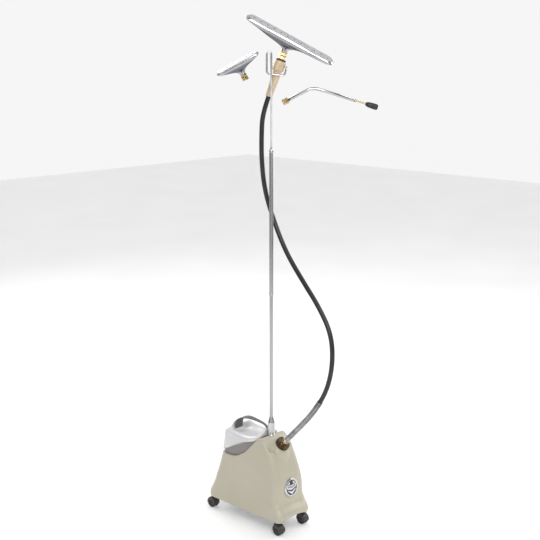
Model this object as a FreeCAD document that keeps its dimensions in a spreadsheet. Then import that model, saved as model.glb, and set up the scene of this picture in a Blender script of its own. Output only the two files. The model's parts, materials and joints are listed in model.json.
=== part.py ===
import FreeCAD, Part
import math
import os
import re

import Sketcher
from FreeCAD import Placement, Rotation, Vector

# Upright garment steamer, in millimetres. The floor is Z = 0, the front face of the
# casing looks along -Y, and the origin is on the floor midway between the casters.

os.makedirs("parts", exist_ok=True)
doc = FreeCAD.newDocument("garment_steamer")
sheet = doc.addObject("Spreadsheet::Sheet", "sizes")

SIZES = {
    # running clearances
    "slip": 0.05, "gap": 0.4, "seat_gap": 0.8,
    # casing: wall, and the outline of its cross-section at rising heights
    "wall": 3, "edge_cut": 14,
    "rim_height": 48, "rim_front": -185, "rim_rear": 180, "rim_half": 80,
    "skirt_height": 62, "skirt_front": -187, "skirt_rear": 181, "skirt_half": 80,
    "waist_height": 97, "waist_front": -169, "waist_rear": 165, "waist_half": 77.5,
    "belly_height": 181, "belly_front": -160, "belly_rear": 136, "belly_half": 74,
    "upper_height": 240, "upper_front": -141.5, "upper_rear": 121, "upper_half": 71,
    "crown_height": 325, "crown_front": -104, "crown_rear": 110, "crown_half": 62,
    "seat_height": 231, "seat_rise_y": 36, "seat_knee_y": -10, "seat_knee_height": 267,
    "seat_wall_y": -50, "seat_wall_height": 312, "plate_thick": 3.5, "plate_lift": 12,
    "plate_gap": 3, "plate_screw": 2.6, "screw_inset": 14, "screw_head": 1.6, "screw_long": 12,
    # boiler inside the casing
    "boiler_radius": 54, "boiler_y": -52, "boiler_floor": 66, "boiler_depth": 92,
    "boiler_wall": 2.5, "boiler_flange": 8, "flange_thick": 4, "lid_thick": 4, "gasket_thick": 2,
    "boiler_bolt": 2.5, "bolt_head": 3, "element_rod": 4, "element_radius": 33, "element_lift": 16,
    "feed_radius": 5, "steam_pipe": 7, "steam_pipe_wall": 1.5,
    "elbow_leg": 30,
    # water bottle, its neck, cap and valve
    "bottle_wall": 2.5, "bottle_rear": 116, "bottle_shoulder": 300, "bottle_hump": 342,
    "bottle_hump_y": 80, "hump_slope": 8, "bottle_floor": 312, "bottle_front_floor": 326,
    "neck_y": 56, "neck_radius": 20, "neck_drop": 14, "cap_radius": 25, "cap_wall": 3,
    "cap_height": 22, "valve_rod": 2.5, "valve_travel": 4, "well_radius": 33,
    "well_depth": 44, "well_wall": 2.5,
    "strap_width": 36, "strap_thick": 9, "strap_top": 366, "strap_front": -48, "strap_stand": 8,
    # pole, its socket and the hanger bracket
    "pole_y": -68, "pole_foot": 300, "lower_pole_radius": 6.2, "pole_wall": 1.2,
    "pole_seam": 831, "upper_pole_wall": 0.8, "upper_pole_top": 1316, "pole_joint": 60,
    "socket_radius": 12.6, "socket_collar": 48, "socket_cone": 20,
    "hook_wire": 3.3, "hook_plug": 40, "hook_top": 1646, "hook_loop": 15, "hook_turn": -46.4,
    "cradle_height": 1570, "cradle_end": 43, "cradle_rise": 24, "cradle_drop": 6,
    # steam outlet and hose
    "outlet_y": -123, "outlet_height": 307, "outlet_tilt": 44, "collar_radius": 25,
    "collar_thick": 12, "collar_teeth": 18, "tooth_depth": 1.2, "stub_radius": 9,
    "stub_bore": 5, "stub_long": 36, "nut_across": 23, "nut_long": 19, "end_cap": 6,
    "cap_floor": 2, "boss_radius": 31, "hose_radius": 8, "hose_lead": 92, "hose_tail": 60,
    "spring_radius": 10.4, "spring_share": 0.55,
    # handle, in the plane of the bracket
    "handle_u": -8.9, "handle_depth": 24, "handle_foot": 1499.5, "handle_tilt": 19.2,
    "handle_long": 122, "grip_foot": 12, "grip_neck": 14.5, "neck_place": 84,
    "shoulder_place": 91, "shoulder_radius": 19.5, "ring_radius": 17, "ring_thick": 5,
    "steam_tube": 6, "steam_tube_wall": 1.2, "head_nut_across": 22, "head_nut_long": 26,
    "tube_short": 6,
    # large steam head
    "head_u": 64.9, "head_height": 1687.5, "head_slope": 28.2, "head_long": 308,
    "head_wide": 37, "head_lip": 12, "head_rake": 27, "face_thick": 2, "face_hole": 2.6,
    "face_holes": 12, "head_neck": 11,
    # small steam head
    "small_u": -112, "small_depth": -20, "small_height": 1611, "small_slope": -28, "small_long": 148,
    "small_wide": 30, "small_lip": 10, "small_drop": 44, "small_rake": 20,
    "small_nut_across": 21, "small_nut_long": 20, "small_holes": 6, "small_bore": 4.5,
    # pipe steamer
    "pipe_u": 46.5, "pipe_height": 1484.5, "pipe_rise": 27, "pipe_first": 100,
    "pipe_fall": -17, "pipe_second": 146, "pipe_radius": 5.5, "pipe_bore": 3.5,
    "pipe_bend": 30, "pipe_nut_across": 18, "pipe_nut_long": 20, "stud_radius": 2.6,
    "stud_long": 44, "stud_plug": 8, "stud_collar": 3, "knob_radius": 10, "knob_long": 42,
    "knob_bore": 12,
    # casters
    "caster_x": 62, "caster_front": -150, "caster_rear": 155, "caster_trail": 13,
    "wheel_radius": 18, "wheel_wide": 9, "wheel_gap": 7, "axle_radius": 3,
    "hood_top": 43, "hood_radius": 20, "hood_post": 14, "stem_radius": 4, "stem_long": 36,
    "stem_seat": 8,
    # controls and badge
    "inlet_height": 118, "inlet_bore": 4.2, "inlet_radius": 9, "inlet_long": 16,
    "switch_x": 34, "switch_wide": 22, "switch_high": 30, "rocker_play": 4.5,
    "badge_radius": 34, "badge_height": 152, "badge_thick": 3,
}
for row, (name, value) in enumerate(SIZES.items(), start=1):
    sheet.set(f"A{row}", name)
    sheet.set(f"B{row}", str(value))
    sheet.setAlias(f"B{row}", name)
doc.recompute()


def size(name):
    """The present value of one cell of the sheet."""
    return float(sheet.get(name))


def bound(words):
    """An expression on the sheet: each alias gets the sheet's name before it."""
    return re.sub(r"[a-z][a-z_]*[a-z]", lambda found: "sizes." + found.group(0), str(words))


def value_of(words):
    """The number that such an expression has now."""
    total = re.sub(r"[a-z][a-z_]*[a-z]", lambda found: str(size(found.group(0))), words)
    return FreeCAD.Units.parseQuantity(total).Value if total else 0.0


def tie(thing, **sizes):
    """Binds an object's properties to expressions on the sheet."""
    for name, words in sizes.items():
        thing.setExpression(name, bound(words))
    return thing


def place(thing, x="0", y="0", z="0", turn=None):
    """Puts an object at a point given by expressions, turned by a fixed rotation."""
    thing.Placement = Placement(Vector(0, 0, 0), turn or Rotation())
    for axis, words in zip("xyz", (x, y, z)):
        if words != "0":
            thing.setExpression(f"Placement.Base.{axis}", bound(words))
    return thing


# ---------------------------------------------------------------- building blocks
def cylinder(name, radius, height, x="0", y="0", z="0", turn=None):
    rod = tie(doc.addObject("Part::Cylinder", name), Radius=radius, Height=height)
    return place(rod, x, y, z, turn)


def block(name, wide, deep, high, x="0", y="0", z="0"):
    """A box, centred in X and Y on its place."""
    box = tie(doc.addObject("Part::Box", name), Length=wide, Width=deep, Height=high)
    return place(box, f"{x} - ({wide}) / 2", f"{y} - ({deep}) / 2", z)


def cut(name, base, *tools):
    """The base with every tool taken out of it."""
    for count, tool in enumerate(tools, start=1):
        last = count == len(tools)
        result = doc.addObject("Part::Cut", name if last else f"{name}_cut")
        result.Base = base
        result.Tool = tool
        base = result
    return base


def fuse(name, *shapes):
    result = doc.addObject("Part::MultiFuse", name)
    result.Shapes = list(shapes)
    return result


def together(name, *shapes):
    """Separate solids that share one node."""
    group = doc.addObject("Part::Compound", name)
    group.Links = list(shapes)
    return group


def plane_of(body, role):
    return next(item for item in body.Origin.OriginFeatures if item.Role == role)


def outline(body, name, role, corners, lift="0"):
    """A closed sketch in one of the body's planes; every corner is tied to the sheet."""
    sketch = body.newObject("Sketcher::SketchObject", name)
    sketch.AttachmentSupport = [(plane_of(body, role), "")]
    sketch.MapMode = "FlatFace"
    sketch.setExpression("AttachmentOffset.Base.z", bound(lift))
    spots = [Vector(value_of(across), value_of(up), 0) for across, up in corners]
    count = len(spots)
    for index in range(count):
        sketch.addGeometry(Part.LineSegment(spots[index], spots[(index + 1) % count]), False)
    for index in range(count):
        following = (index + 1) % count
        sketch.addConstraint(Sketcher.Constraint("Coincident", index, 2, following, 1))
    for index, (spot, corner) in enumerate(zip(spots, corners)):
        for kind, distance, words, axis in (
            ("DistanceX", spot.x, corner[0], -2),
            ("DistanceY", spot.y, corner[1], -1),
        ):
            if abs(distance) < 1e-9:
                sketch.addConstraint(Sketcher.Constraint("PointOnObject", index, 1, axis))
                continue
            tied = sketch.addConstraint(
                Sketcher.Constraint(kind, -1, 1, index, 1, distance)
            )
            sketch.setExpression(f"Constraints[{tied}]", bound(words))
    return sketch


def turned(name, corners, x="0", y="0", z="0", turn=None):
    """A turned piece: an outline of (radius, height) corners carried round the Z axis."""
    body = doc.addObject("PartDesign::Body", name)
    sketch = outline(body, f"{name}_outline", "XZ_Plane", corners)
    revolution = body.newObject("PartDesign::Revolution", f"{name}_turning")
    revolution.Profile = sketch
    revolution.ReferenceAxis = (sketch, ["V_Axis"])
    revolution.Angle = 360
    sketch.Visibility = False
    return place(body, x, y, z, turn)


def hexagon_nut(name, across, long, bore, x="0", y="0", z="0", turn=None):
    """A hexagon bar with a bore through it, along Z."""
    body = doc.addObject("PartDesign::Body", name)
    corners = []
    for step in range(6):
        angle = math.radians(60 * step)
        reach = f"({across}) * {0.5 / math.cos(math.radians(30)):.6f}"
        corners.append(
            (f"{reach} * {math.cos(angle):.6f}", f"{reach} * {math.sin(angle):.6f}")
        )
    sketch = outline(body, f"{name}_hexagon", "XY_Plane", corners)
    pad = body.newObject("PartDesign::Pad", f"{name}_pad")
    pad.Profile = sketch
    tie(pad, Length=long)
    round_hole(body, name, bore, long)
    return place(body, x, y, z, turn)


def round_hole(body, name, bore, long):
    """A round pocket through a body whose pad starts on its XY plane."""
    sketch = body.newObject("Sketcher::SketchObject", f"{name}_hole")
    sketch.AttachmentSupport = [(plane_of(body, "XY_Plane"), "")]
    sketch.MapMode = "FlatFace"
    sketch.addGeometry(Part.Circle(Vector(), Vector(0, 0, 1), value_of(bore)), False)
    sketch.addConstraint(Sketcher.Constraint("Coincident", 0, 3, -1, 1))
    tied = sketch.addConstraint(Sketcher.Constraint("Radius", 0, value_of(bore)))
    sketch.setExpression(f"Constraints[{tied}]", bound(bore))
    pocket = body.newObject("PartDesign::Pocket", f"{name}_bore")
    pocket.Profile = sketch
    pocket.Reversed = True
    tie(pocket, Length=f"{long} + 1")
    return pocket


def shape_part(name, shape, placement=None):
    """A sub-part whose shape Part's own functions make from the sheet's sizes."""
    feature = doc.addObject("Part::Feature", name)
    feature.Shape = shape
    if placement:
        feature.Placement = placement
    return feature


def rounded_path(points, largest=None, arcs=None, share=0.45):
    """Straight runs joined by tangent arcs; returns the wire and the arcs' radii.

    Each arc is as large as its runs allow, or no larger than a given radius, or one of
    the radii in a list.
    """
    edges, used = [], []
    start = points[0]
    for index in range(1, len(points) - 1):
        before, corner, after = points[index - 1], points[index], points[index + 1]
        inward = (before - corner).normalize()
        onward = (after - corner).normalize()
        turn = math.pi - inward.getAngle(onward)
        shorter = min((before - corner).Length, (after - corner).Length)
        radius = share * shorter / math.tan(turn / 2)
        if largest:
            radius = min(radius, largest)
        if arcs:
            radius = arcs[index - 1]
        back = radius * math.tan(turn / 2)
        first, last = corner + inward * back, corner + onward * back
        middle = (inward + onward).normalize()
        crown = corner + middle * (radius / math.cos(turn / 2) - radius)
        edges.append(Part.LineSegment(start, first).toShape())
        edges.append(Part.Arc(first, crown, last).toShape())
        used.append(radius)
        start = last
    edges.append(Part.LineSegment(start, points[-1]).toShape())
    return Part.Wire(edges), used


def tube_along(wire, radius, bore=0.0):
    """A round bar or tube swept along a path."""
    start = wire.OrderedEdges[0]
    spot = start.valueAt(start.FirstParameter)
    heading = start.tangentAt(start.FirstParameter)

    def swept(size_of):
        ring = Part.Wire([Part.Circle(spot, heading, size_of).toShape()])
        return wire.makePipeShell([ring], True, False, 2)

    bar = swept(radius)
    return bar.cut(swept(bore)) if bore else bar


# ---------------------------------------------------------------- frames of reference
SWING = Rotation(Vector(0, 0, 1), size("hook_turn"))


def bracket_point(across, depth, height):
    """A point in the hanger bracket's own frame, which is turned on the pole."""
    return SWING.multVec(Vector(across, depth, 0)) + Vector(0, size("pole_y"), height)


def bracket_turn(tilt, rake=0.0):
    """Turns +Z towards the bracket's own +X by tilt, then leans it about that X."""
    leaning = Rotation(Vector(1, 0, 0), rake)
    return SWING.multiply(Rotation(Vector(0, 1, 0), tilt)).multiply(leaning)


OUTLET_TURN = Rotation(Vector(1, 0, 0), size("outlet_tilt"))


def outlet_point(along):
    """A point on the steam outlet's axis, from the middle of its collar."""
    return Vector(0, size("outlet_y"), size("outlet_height")) + OUTLET_TURN.multVec(
        Vector(0, 0, along)
    )


def on_outlet(thing, along):
    thing.Placement = Placement(outlet_point(along), OUTLET_TURN)
    return thing


REAR_LEAN = math.degrees(math.atan2(size("waist_rear") - size("belly_rear"),
                                    size("belly_height") - size("waist_height")))
REAR_TURN = Rotation(Vector(1, 0, 0), REAR_LEAN - 90)


def rear_point(across, out=0.0):
    """A point on the casing's sloping rear face, at the height of the controls."""
    rise = size("inlet_height") - size("waist_height")
    rear = size("waist_rear") - rise * math.tan(math.radians(REAR_LEAN))
    return Vector(across, rear, size("inlet_height")) + REAR_TURN.multVec(Vector(0, 0, out))


HANDLE_TURN = bracket_turn(size("handle_tilt"))


def handle_point(along):
    """A point on the handle's axis, from its foot."""
    foot = bracket_point(size("handle_u"), size("handle_depth"), size("handle_foot"))
    return foot + HANDLE_TURN.multVec(Vector(0, 0, along))


def on_handle(thing, along):
    thing.Placement = Placement(handle_point(along), HANDLE_TURN)
    return thing


# ---------------------------------------------------------------- casing
LEVELS = ("rim", "skirt", "waist", "belly", "upper", "crown")


def cut_rectangle(level, inset):
    """The corners of the casing's eight-sided section at one level, set inwards."""
    front = f"{level}_front + {inset}"
    rear = f"{level}_rear - {inset}"
    half = f"{level}_half - {inset}"
    corner = f"edge_cut - {inset} * 0.6"
    right = f"({half} - ({corner}))"
    return [
        (half, f"{front} + {corner}"), (half, f"{rear} - ({corner})"),
        (right, rear), (f"-{right}", rear),
        (f"-({half})", f"{rear} - ({corner})"), (f"-({half})", f"{front} + {corner}"),
        (f"-{right}", front), (right, front),
    ]


def casing_block(name, inset, drop):
    """The casing's outer or inner block: eight-sided sections, one at each level."""
    body = doc.addObject("PartDesign::Body", name)
    sections = [outline(body, f"{name}_{level}", "XY_Plane", cut_rectangle(level, inset),
                        f"{level}_height - {drop}") for level in LEVELS]
    loft = body.newObject("PartDesign::AdditiveLoft", f"{name}_loft")
    loft.Profile = sections[0]
    loft.Sections = sections[1:]
    loft.Ruled = True
    return body


def seat_line(shift):
    """The line that the bottle sits on, seen from the side, from rear to front."""
    return [
        ("skirt_rear", f"seat_height + {shift}"),
        ("seat_rise_y", f"seat_height + {shift}"),
        ("seat_knee_y", f"seat_knee_height + {shift}"),
        ("seat_wall_y", f"seat_wall_height + {shift}"),
        ("seat_wall_y", "crown_height + 40"),
    ]


def side_cut(body, name, corners):
    """Pockets a side-view outline right through a body."""
    pocket = body.newObject("PartDesign::Pocket", name)
    pocket.Profile = outline(body, f"{name}_outline", "YZ_Plane", corners)
    pocket.Midplane = True
    tie(pocket, Length="4 * rim_half")
    return pocket


def make_casing():
    outer = casing_block("casing_outer", "0", "0")
    side_cut(outer, "seat_outer", seat_line("0") + [("skirt_rear", "crown_height + 40")])
    inner = casing_block("casing_inner", "wall", "wall")
    side_cut(inner, "seat_inner", seat_line("(-wall)") + [("skirt_rear", "crown_height + 40")])
    doc.recompute()
    boss = on_outlet(
        tie(doc.addObject("Part::Cylinder", "outlet_boss"),
            Radius="boss_radius", Height="boss_radius"), 0)
    boss.Placement = Placement(
        outlet_point(-size("collar_thick") / 2 - size("boss_radius")), OUTLET_TURN)
    skin = fuse("casing_skin", outer, boss)
    pole_hole = cylinder("casing_pole_hole", "lower_pole_radius + slip", "60",
                         y="pole_y", z="crown_height - 50")
    outlet_hole = tie(doc.addObject("Part::Cylinder", "casing_outlet_hole"),
                      Radius="stub_radius", Height="90")
    outlet_hole.Placement = Placement(outlet_point(-80), OUTLET_TURN)
    well_hole = cylinder("casing_well_hole", "well_radius", "30", y="neck_y",
                         z="seat_height - 20")
    inlet_hole = cylinder("casing_inlet_hole", "inlet_radius - 2", "30")
    inlet_hole.Placement = Placement(rear_point(-size("switch_x"), -15), REAR_TURN)
    switch_hole = tie(doc.addObject("Part::Box", "casing_switch_hole"), Length="switch_wide",
                      Width="switch_high", Height="30")
    corner = rear_point(size("switch_x"), -15)
    corner -= REAR_TURN.multVec(Vector(size("switch_wide") / 2, size("switch_high") / 2, 0))
    switch_hole.Placement = Placement(corner, REAR_TURN)
    collar_room = tie(doc.addObject("Part::Cylinder", "casing_collar_room"),
                      Radius="collar_radius + gap", Height="60")
    on_outlet(collar_room, -size("collar_thick") / 2)
    return cut("casing", skin, inner, pole_hole, outlet_hole, well_hole,
               inlet_hole, switch_hole, collar_room)


def make_base():
    """The plate that closes the foot, with holes for the casters, and its screws."""
    plate = doc.addObject("PartDesign::Body", "plate_blank")
    pad = plate.newObject("PartDesign::Pad", "plate_pad")
    pad.Profile = outline(plate, "plate_outline", "XY_Plane",
                          cut_rectangle("skirt", "(wall + plate_gap)"), "rim_height + plate_lift")
    tie(pad, Length="plate_thick")
    corners = [(side, end) for side in (-1, 1) for end in ("caster_front", "caster_rear")]
    stems = [cylinder(f"plate_stem_hole_{count}", "stem_radius + slip", "plate_thick + 2",
                      x=f"{side} * caster_x", y=end, z="rim_height + plate_lift - 1")
             for count, (side, end) in enumerate(corners)]
    spots = [(side, f"{share} * rim_rear") for side in (-1, 1) for share in (-0.4, 0, 0.4)]
    holes, screws = [], []
    for count, (side, along) in enumerate(spots):
        across = f"{side} * (skirt_half - screw_inset)"
        holes.append(cylinder(f"plate_screw_hole_{count}", "plate_screw", "plate_thick + 2",
                              x=across, y=along, z="rim_height + plate_lift - 1"))
        screws.append(turned(f"plate_screw_{count}", [
            ("0", "0"), ("plate_screw * 2", "0"), ("plate_screw * 2", "screw_head"),
            ("plate_screw", "screw_head"), ("plate_screw", "screw_long"), ("0", "screw_long"),
        ], x=across, y=along, z="rim_height + plate_lift - screw_head"))
    cut("base_plate", plate, *stems, *holes)
    together("base_plate_screws", *screws)


def elbow_corner():
    """Where the steam pipe turns from straight up to the outlet's axis."""
    return outlet_point(-size("collar_thick") / 2 - size("stub_long") - size("elbow_leg"))


def make_boiler():
    outside = "boiler_radius"
    turned("boiler_tank", [
        ("0", "0"), (outside, "0"), (outside, "boiler_depth - flange_thick"),
        (f"{outside} + boiler_flange", "boiler_depth - flange_thick"),
        (f"{outside} + boiler_flange", "boiler_depth"),
        (f"{outside} - boiler_wall", "boiler_depth"),
        (f"{outside} - boiler_wall", "boiler_wall"), ("0", "boiler_wall"),
    ], y="boiler_y", z="boiler_floor")
    top = "boiler_floor + boiler_depth"
    turned("boiler_gasket", [
        (f"{outside} - boiler_wall", "0"), (f"{outside} + boiler_flange", "0"),
        (f"{outside} + boiler_flange", "gasket_thick"),
        (f"{outside} - boiler_wall", "gasket_thick"),
    ], y="boiler_y", z=top)
    lid = cylinder("lid_blank", f"{outside} + boiler_flange", "lid_thick", y="boiler_y",
                   z=f"{top} + gasket_thick")
    lid_hole = cylinder("lid_steam_hole", "steam_pipe - steam_pipe_wall", "lid_thick + 2",
                        y=f"{elbow_corner().y:.6f}", z=f"{top} + gasket_thick - 1")
    cut("boiler_lid", lid, lid_hole)
    bolts = []
    for step in range(6):
        angle = math.radians(30 + 60 * step)
        reach = f"({outside} + boiler_flange / 2)"
        bolts.append(turned(f"boiler_bolt_{step}", [
            ("0", "0"), ("boiler_bolt * 1.8", "0"), ("boiler_bolt * 1.8", "bolt_head"),
            ("0", "bolt_head"),
        ], x=f"{reach} * {math.cos(angle):.6f}", y=f"boiler_y + {reach} * {math.sin(angle):.6f}",
            z=f"{top} + gasket_thick + lid_thick"))
    together("boiler_bolts", *bolts)
    ring = tie(doc.addObject("Part::Torus", "element_ring"), Radius1="element_radius",
               Radius2="element_rod")
    place(ring, y="boiler_y", z="boiler_floor + element_lift")
    legs = [cylinder(f"element_leg_{side}", "element_rod - 0.5",
                     "element_lift - boiler_wall", x=f"{side} * element_radius",
                     y="boiler_y", z="boiler_floor + boiler_wall") for side in (-1, 1)]
    fuse("heating_element", ring, *legs)


def make_outlet():
    """The steam pipe from the lid to the outlet, the brass stub, collar and hose nut."""
    half = size("collar_thick") / 2
    lid_top = (size("boiler_floor") + size("boiler_depth") + size("gasket_thick")
               + size("lid_thick"))
    corner = elbow_corner()
    foot = Vector(0, corner.y, lid_top)
    path, _ = rounded_path([foot, corner, outlet_point(-half - size("stub_long"))],
                           largest=size("elbow_leg"))
    bore = size("steam_pipe") - size("steam_pipe_wall")
    shape_part("steam_elbow", tube_along(path, size("steam_pipe"), bore))
    stub = turned("hose_fitting", [
        ("stub_bore", "0"), ("stub_radius", "0"), ("stub_radius", "stub_long + collar_thick"),
        ("stub_bore", "stub_long + collar_thick"),
    ])
    on_outlet(stub, -half - size("stub_long"))
    teeth = int(size("collar_teeth"))
    body = doc.addObject("PartDesign::Body", "fitting_collar")
    corners = []
    for step in range(2 * teeth):
        angle = math.radians(180 * step / teeth)
        reach = "collar_radius" if step % 2 else "(collar_radius - tooth_depth)"
        corners.append((f"{reach} * {math.cos(angle):.6f}", f"{reach} * {math.sin(angle):.6f}"))
    pad = body.newObject("PartDesign::Pad", "fitting_collar_pad")
    pad.Profile = outline(body, "fitting_collar_outline", "XY_Plane", corners)
    tie(pad, Length="collar_thick")
    round_hole(body, "fitting_collar", "stub_radius", "collar_thick")
    on_outlet(body, -half)
    nut = hexagon_nut("hose_nut_bar", "nut_across", "nut_long", "stub_bore")
    cap = turned("hose_nut_cap", [
        ("stub_bore", "0"), ("spring_radius", "0"), ("spring_radius", "end_cap"),
        ("hose_radius + slip", "end_cap"), ("hose_radius + slip", "cap_floor"),
        ("stub_bore", "cap_floor"),
    ])
    on_outlet(nut, half)
    on_outlet(cap, half + size("nut_long"))
    fuse("hose_nut", nut, cap)


# The hose's corners beyond its straight start: first the ones in front of the casing,
# then past the far side of the pole, and up behind it to the handle.
HOSE_CORNERS = [
    (0, -268, 463), (2, -321, 548), (4, -343, 645), (8, -331, 743), (12, -272, 824),
    (18, -189, 904), (25, -111, 985), (30, -50, 1085), (11, -27, 1185), (-1, -24, 1285),
    (-3, -26, 1380),
]


def hose_points():
    """The hose's whole route, from inside the nut's cap to the handle's foot."""
    start = size("collar_thick") / 2 + size("nut_long") + size("cap_floor")
    points = [outlet_point(start), outlet_point(start + size("hose_lead"))]
    points += [Vector(*corner) for corner in HOSE_CORNERS]
    return points + [handle_point(-size("hose_tail")), handle_point(-size("gap"))]


def make_hose():
    points = hose_points()
    path, radii = rounded_path(points)
    print("hose bend radii", [round(radius) for radius in radii])
    hose = tube_along(path, size("hose_radius"))
    expected = math.pi * size("hose_radius") ** 2 * path.Length
    print("hose length %.1f, volume over section times length %.4f"
          % (path.Length, hose.Volume / expected))
    shape_part("steam_hose", hose)
    sleeve_points = points[:4]
    sleeve_points[3] = points[2] + (points[3] - points[2]) * size("spring_share")
    into_cap = size("end_cap") - size("cap_floor")
    sleeve_points[0] = points[0] + (points[1] - points[0]).normalize() * into_cap
    sleeve_path, _ = rounded_path(sleeve_points, arcs=radii)
    shape_part("hose_spring", tube_along(sleeve_path, size("spring_radius"),
                                         size("hose_radius") + size("slip")))


def make_pole():
    outside = "lower_pole_radius + upper_pole_wall"
    turned("pole_socket", [
        ("lower_pole_radius", "0"), ("socket_radius", "0"),
        ("socket_radius - 0.6", "socket_collar"),
        ("lower_pole_radius + 1.2", "socket_collar + socket_cone"),
        ("lower_pole_radius", "socket_collar + socket_cone"),
    ], y="pole_y", z="crown_height")
    turned("lower_pole", [
        ("lower_pole_radius - pole_wall", "0"), ("lower_pole_radius", "0"),
        ("lower_pole_radius", "pole_seam + pole_joint - pole_foot"),
        ("lower_pole_radius - pole_wall", "pole_seam + pole_joint - pole_foot"),
    ], y="pole_y", z="pole_foot")
    turned("upper_pole", [
        ("lower_pole_radius", "0"), (outside, "0"),
        (outside, "upper_pole_top - pole_seam"),
        ("lower_pole_radius", "upper_pole_top - pole_seam"),
    ], y="pole_y", z="pole_seam")
    turned("hook_plug", [
        ("hook_wire", "0"), ("lower_pole_radius", "0"),
        ("lower_pole_radius", "hook_plug - 4"), (outside, "hook_plug - 4"),
        (outside, "hook_plug + 2"), ("hook_wire", "hook_plug + 12"),
    ], y="pole_y", z="upper_pole_top - hook_plug + 4")
    wire, end = size("hook_wire"), size("cradle_end")
    cradle, top, loop = size("cradle_height"), size("hook_top"), size("hook_loop")
    rise, drop = size("cradle_rise"), size("cradle_drop")
    side = size("grip_neck") + wire + 1.5
    near, far = size("handle_depth") - side, size("handle_depth") + side
    spots = [
        (0, 0, size("upper_pole_top") - size("hook_plug") + 4), (0, 0, top - wire),
        (-loop, 0, top - wire), (-loop, 0, cradle + drop), (-loop / 2, near, cradle + drop / 2),
        (end, near, cradle - drop / 2), (end + 7, near, cradle + rise),
        (end + 7, far, cradle + rise), (end, far, cradle - drop / 2),
        (-loop / 2, far, cradle + drop / 2),
    ]
    path, _ = rounded_path([bracket_point(*spot) for spot in spots], largest=loop / 2 - 0.5)
    shape_part("hanger_hook", tube_along(path, wire))


def make_well_and_feed():
    turned("reservoir_well", [
        ("0", "0"), ("well_radius", "0"), ("well_radius", "well_depth"),
        ("well_radius - well_wall", "well_depth"), ("well_radius - well_wall", "well_wall"),
        ("valve_rod", "well_wall"),
        ("valve_rod", "well_depth - neck_drop - cap_wall - valve_travel - gap - 3"),
        ("0", "well_depth - neck_drop - cap_wall - valve_travel - gap - 3"),
    ], y="neck_y", z="seat_height - well_depth - 2")
    tank_side = Vector(0, size("boiler_y") + size("boiler_radius"), size("boiler_floor") + 20)
    well_foot = Vector(0, size("neck_y"), size("seat_height") - size("well_depth") - 2)
    path, _ = rounded_path([well_foot, Vector(0, well_foot.y, tank_side.z), tank_side], largest=18)
    shape_part("feed_tube", tube_along(path, size("feed_radius"), size("feed_radius") - 1.5))


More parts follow.
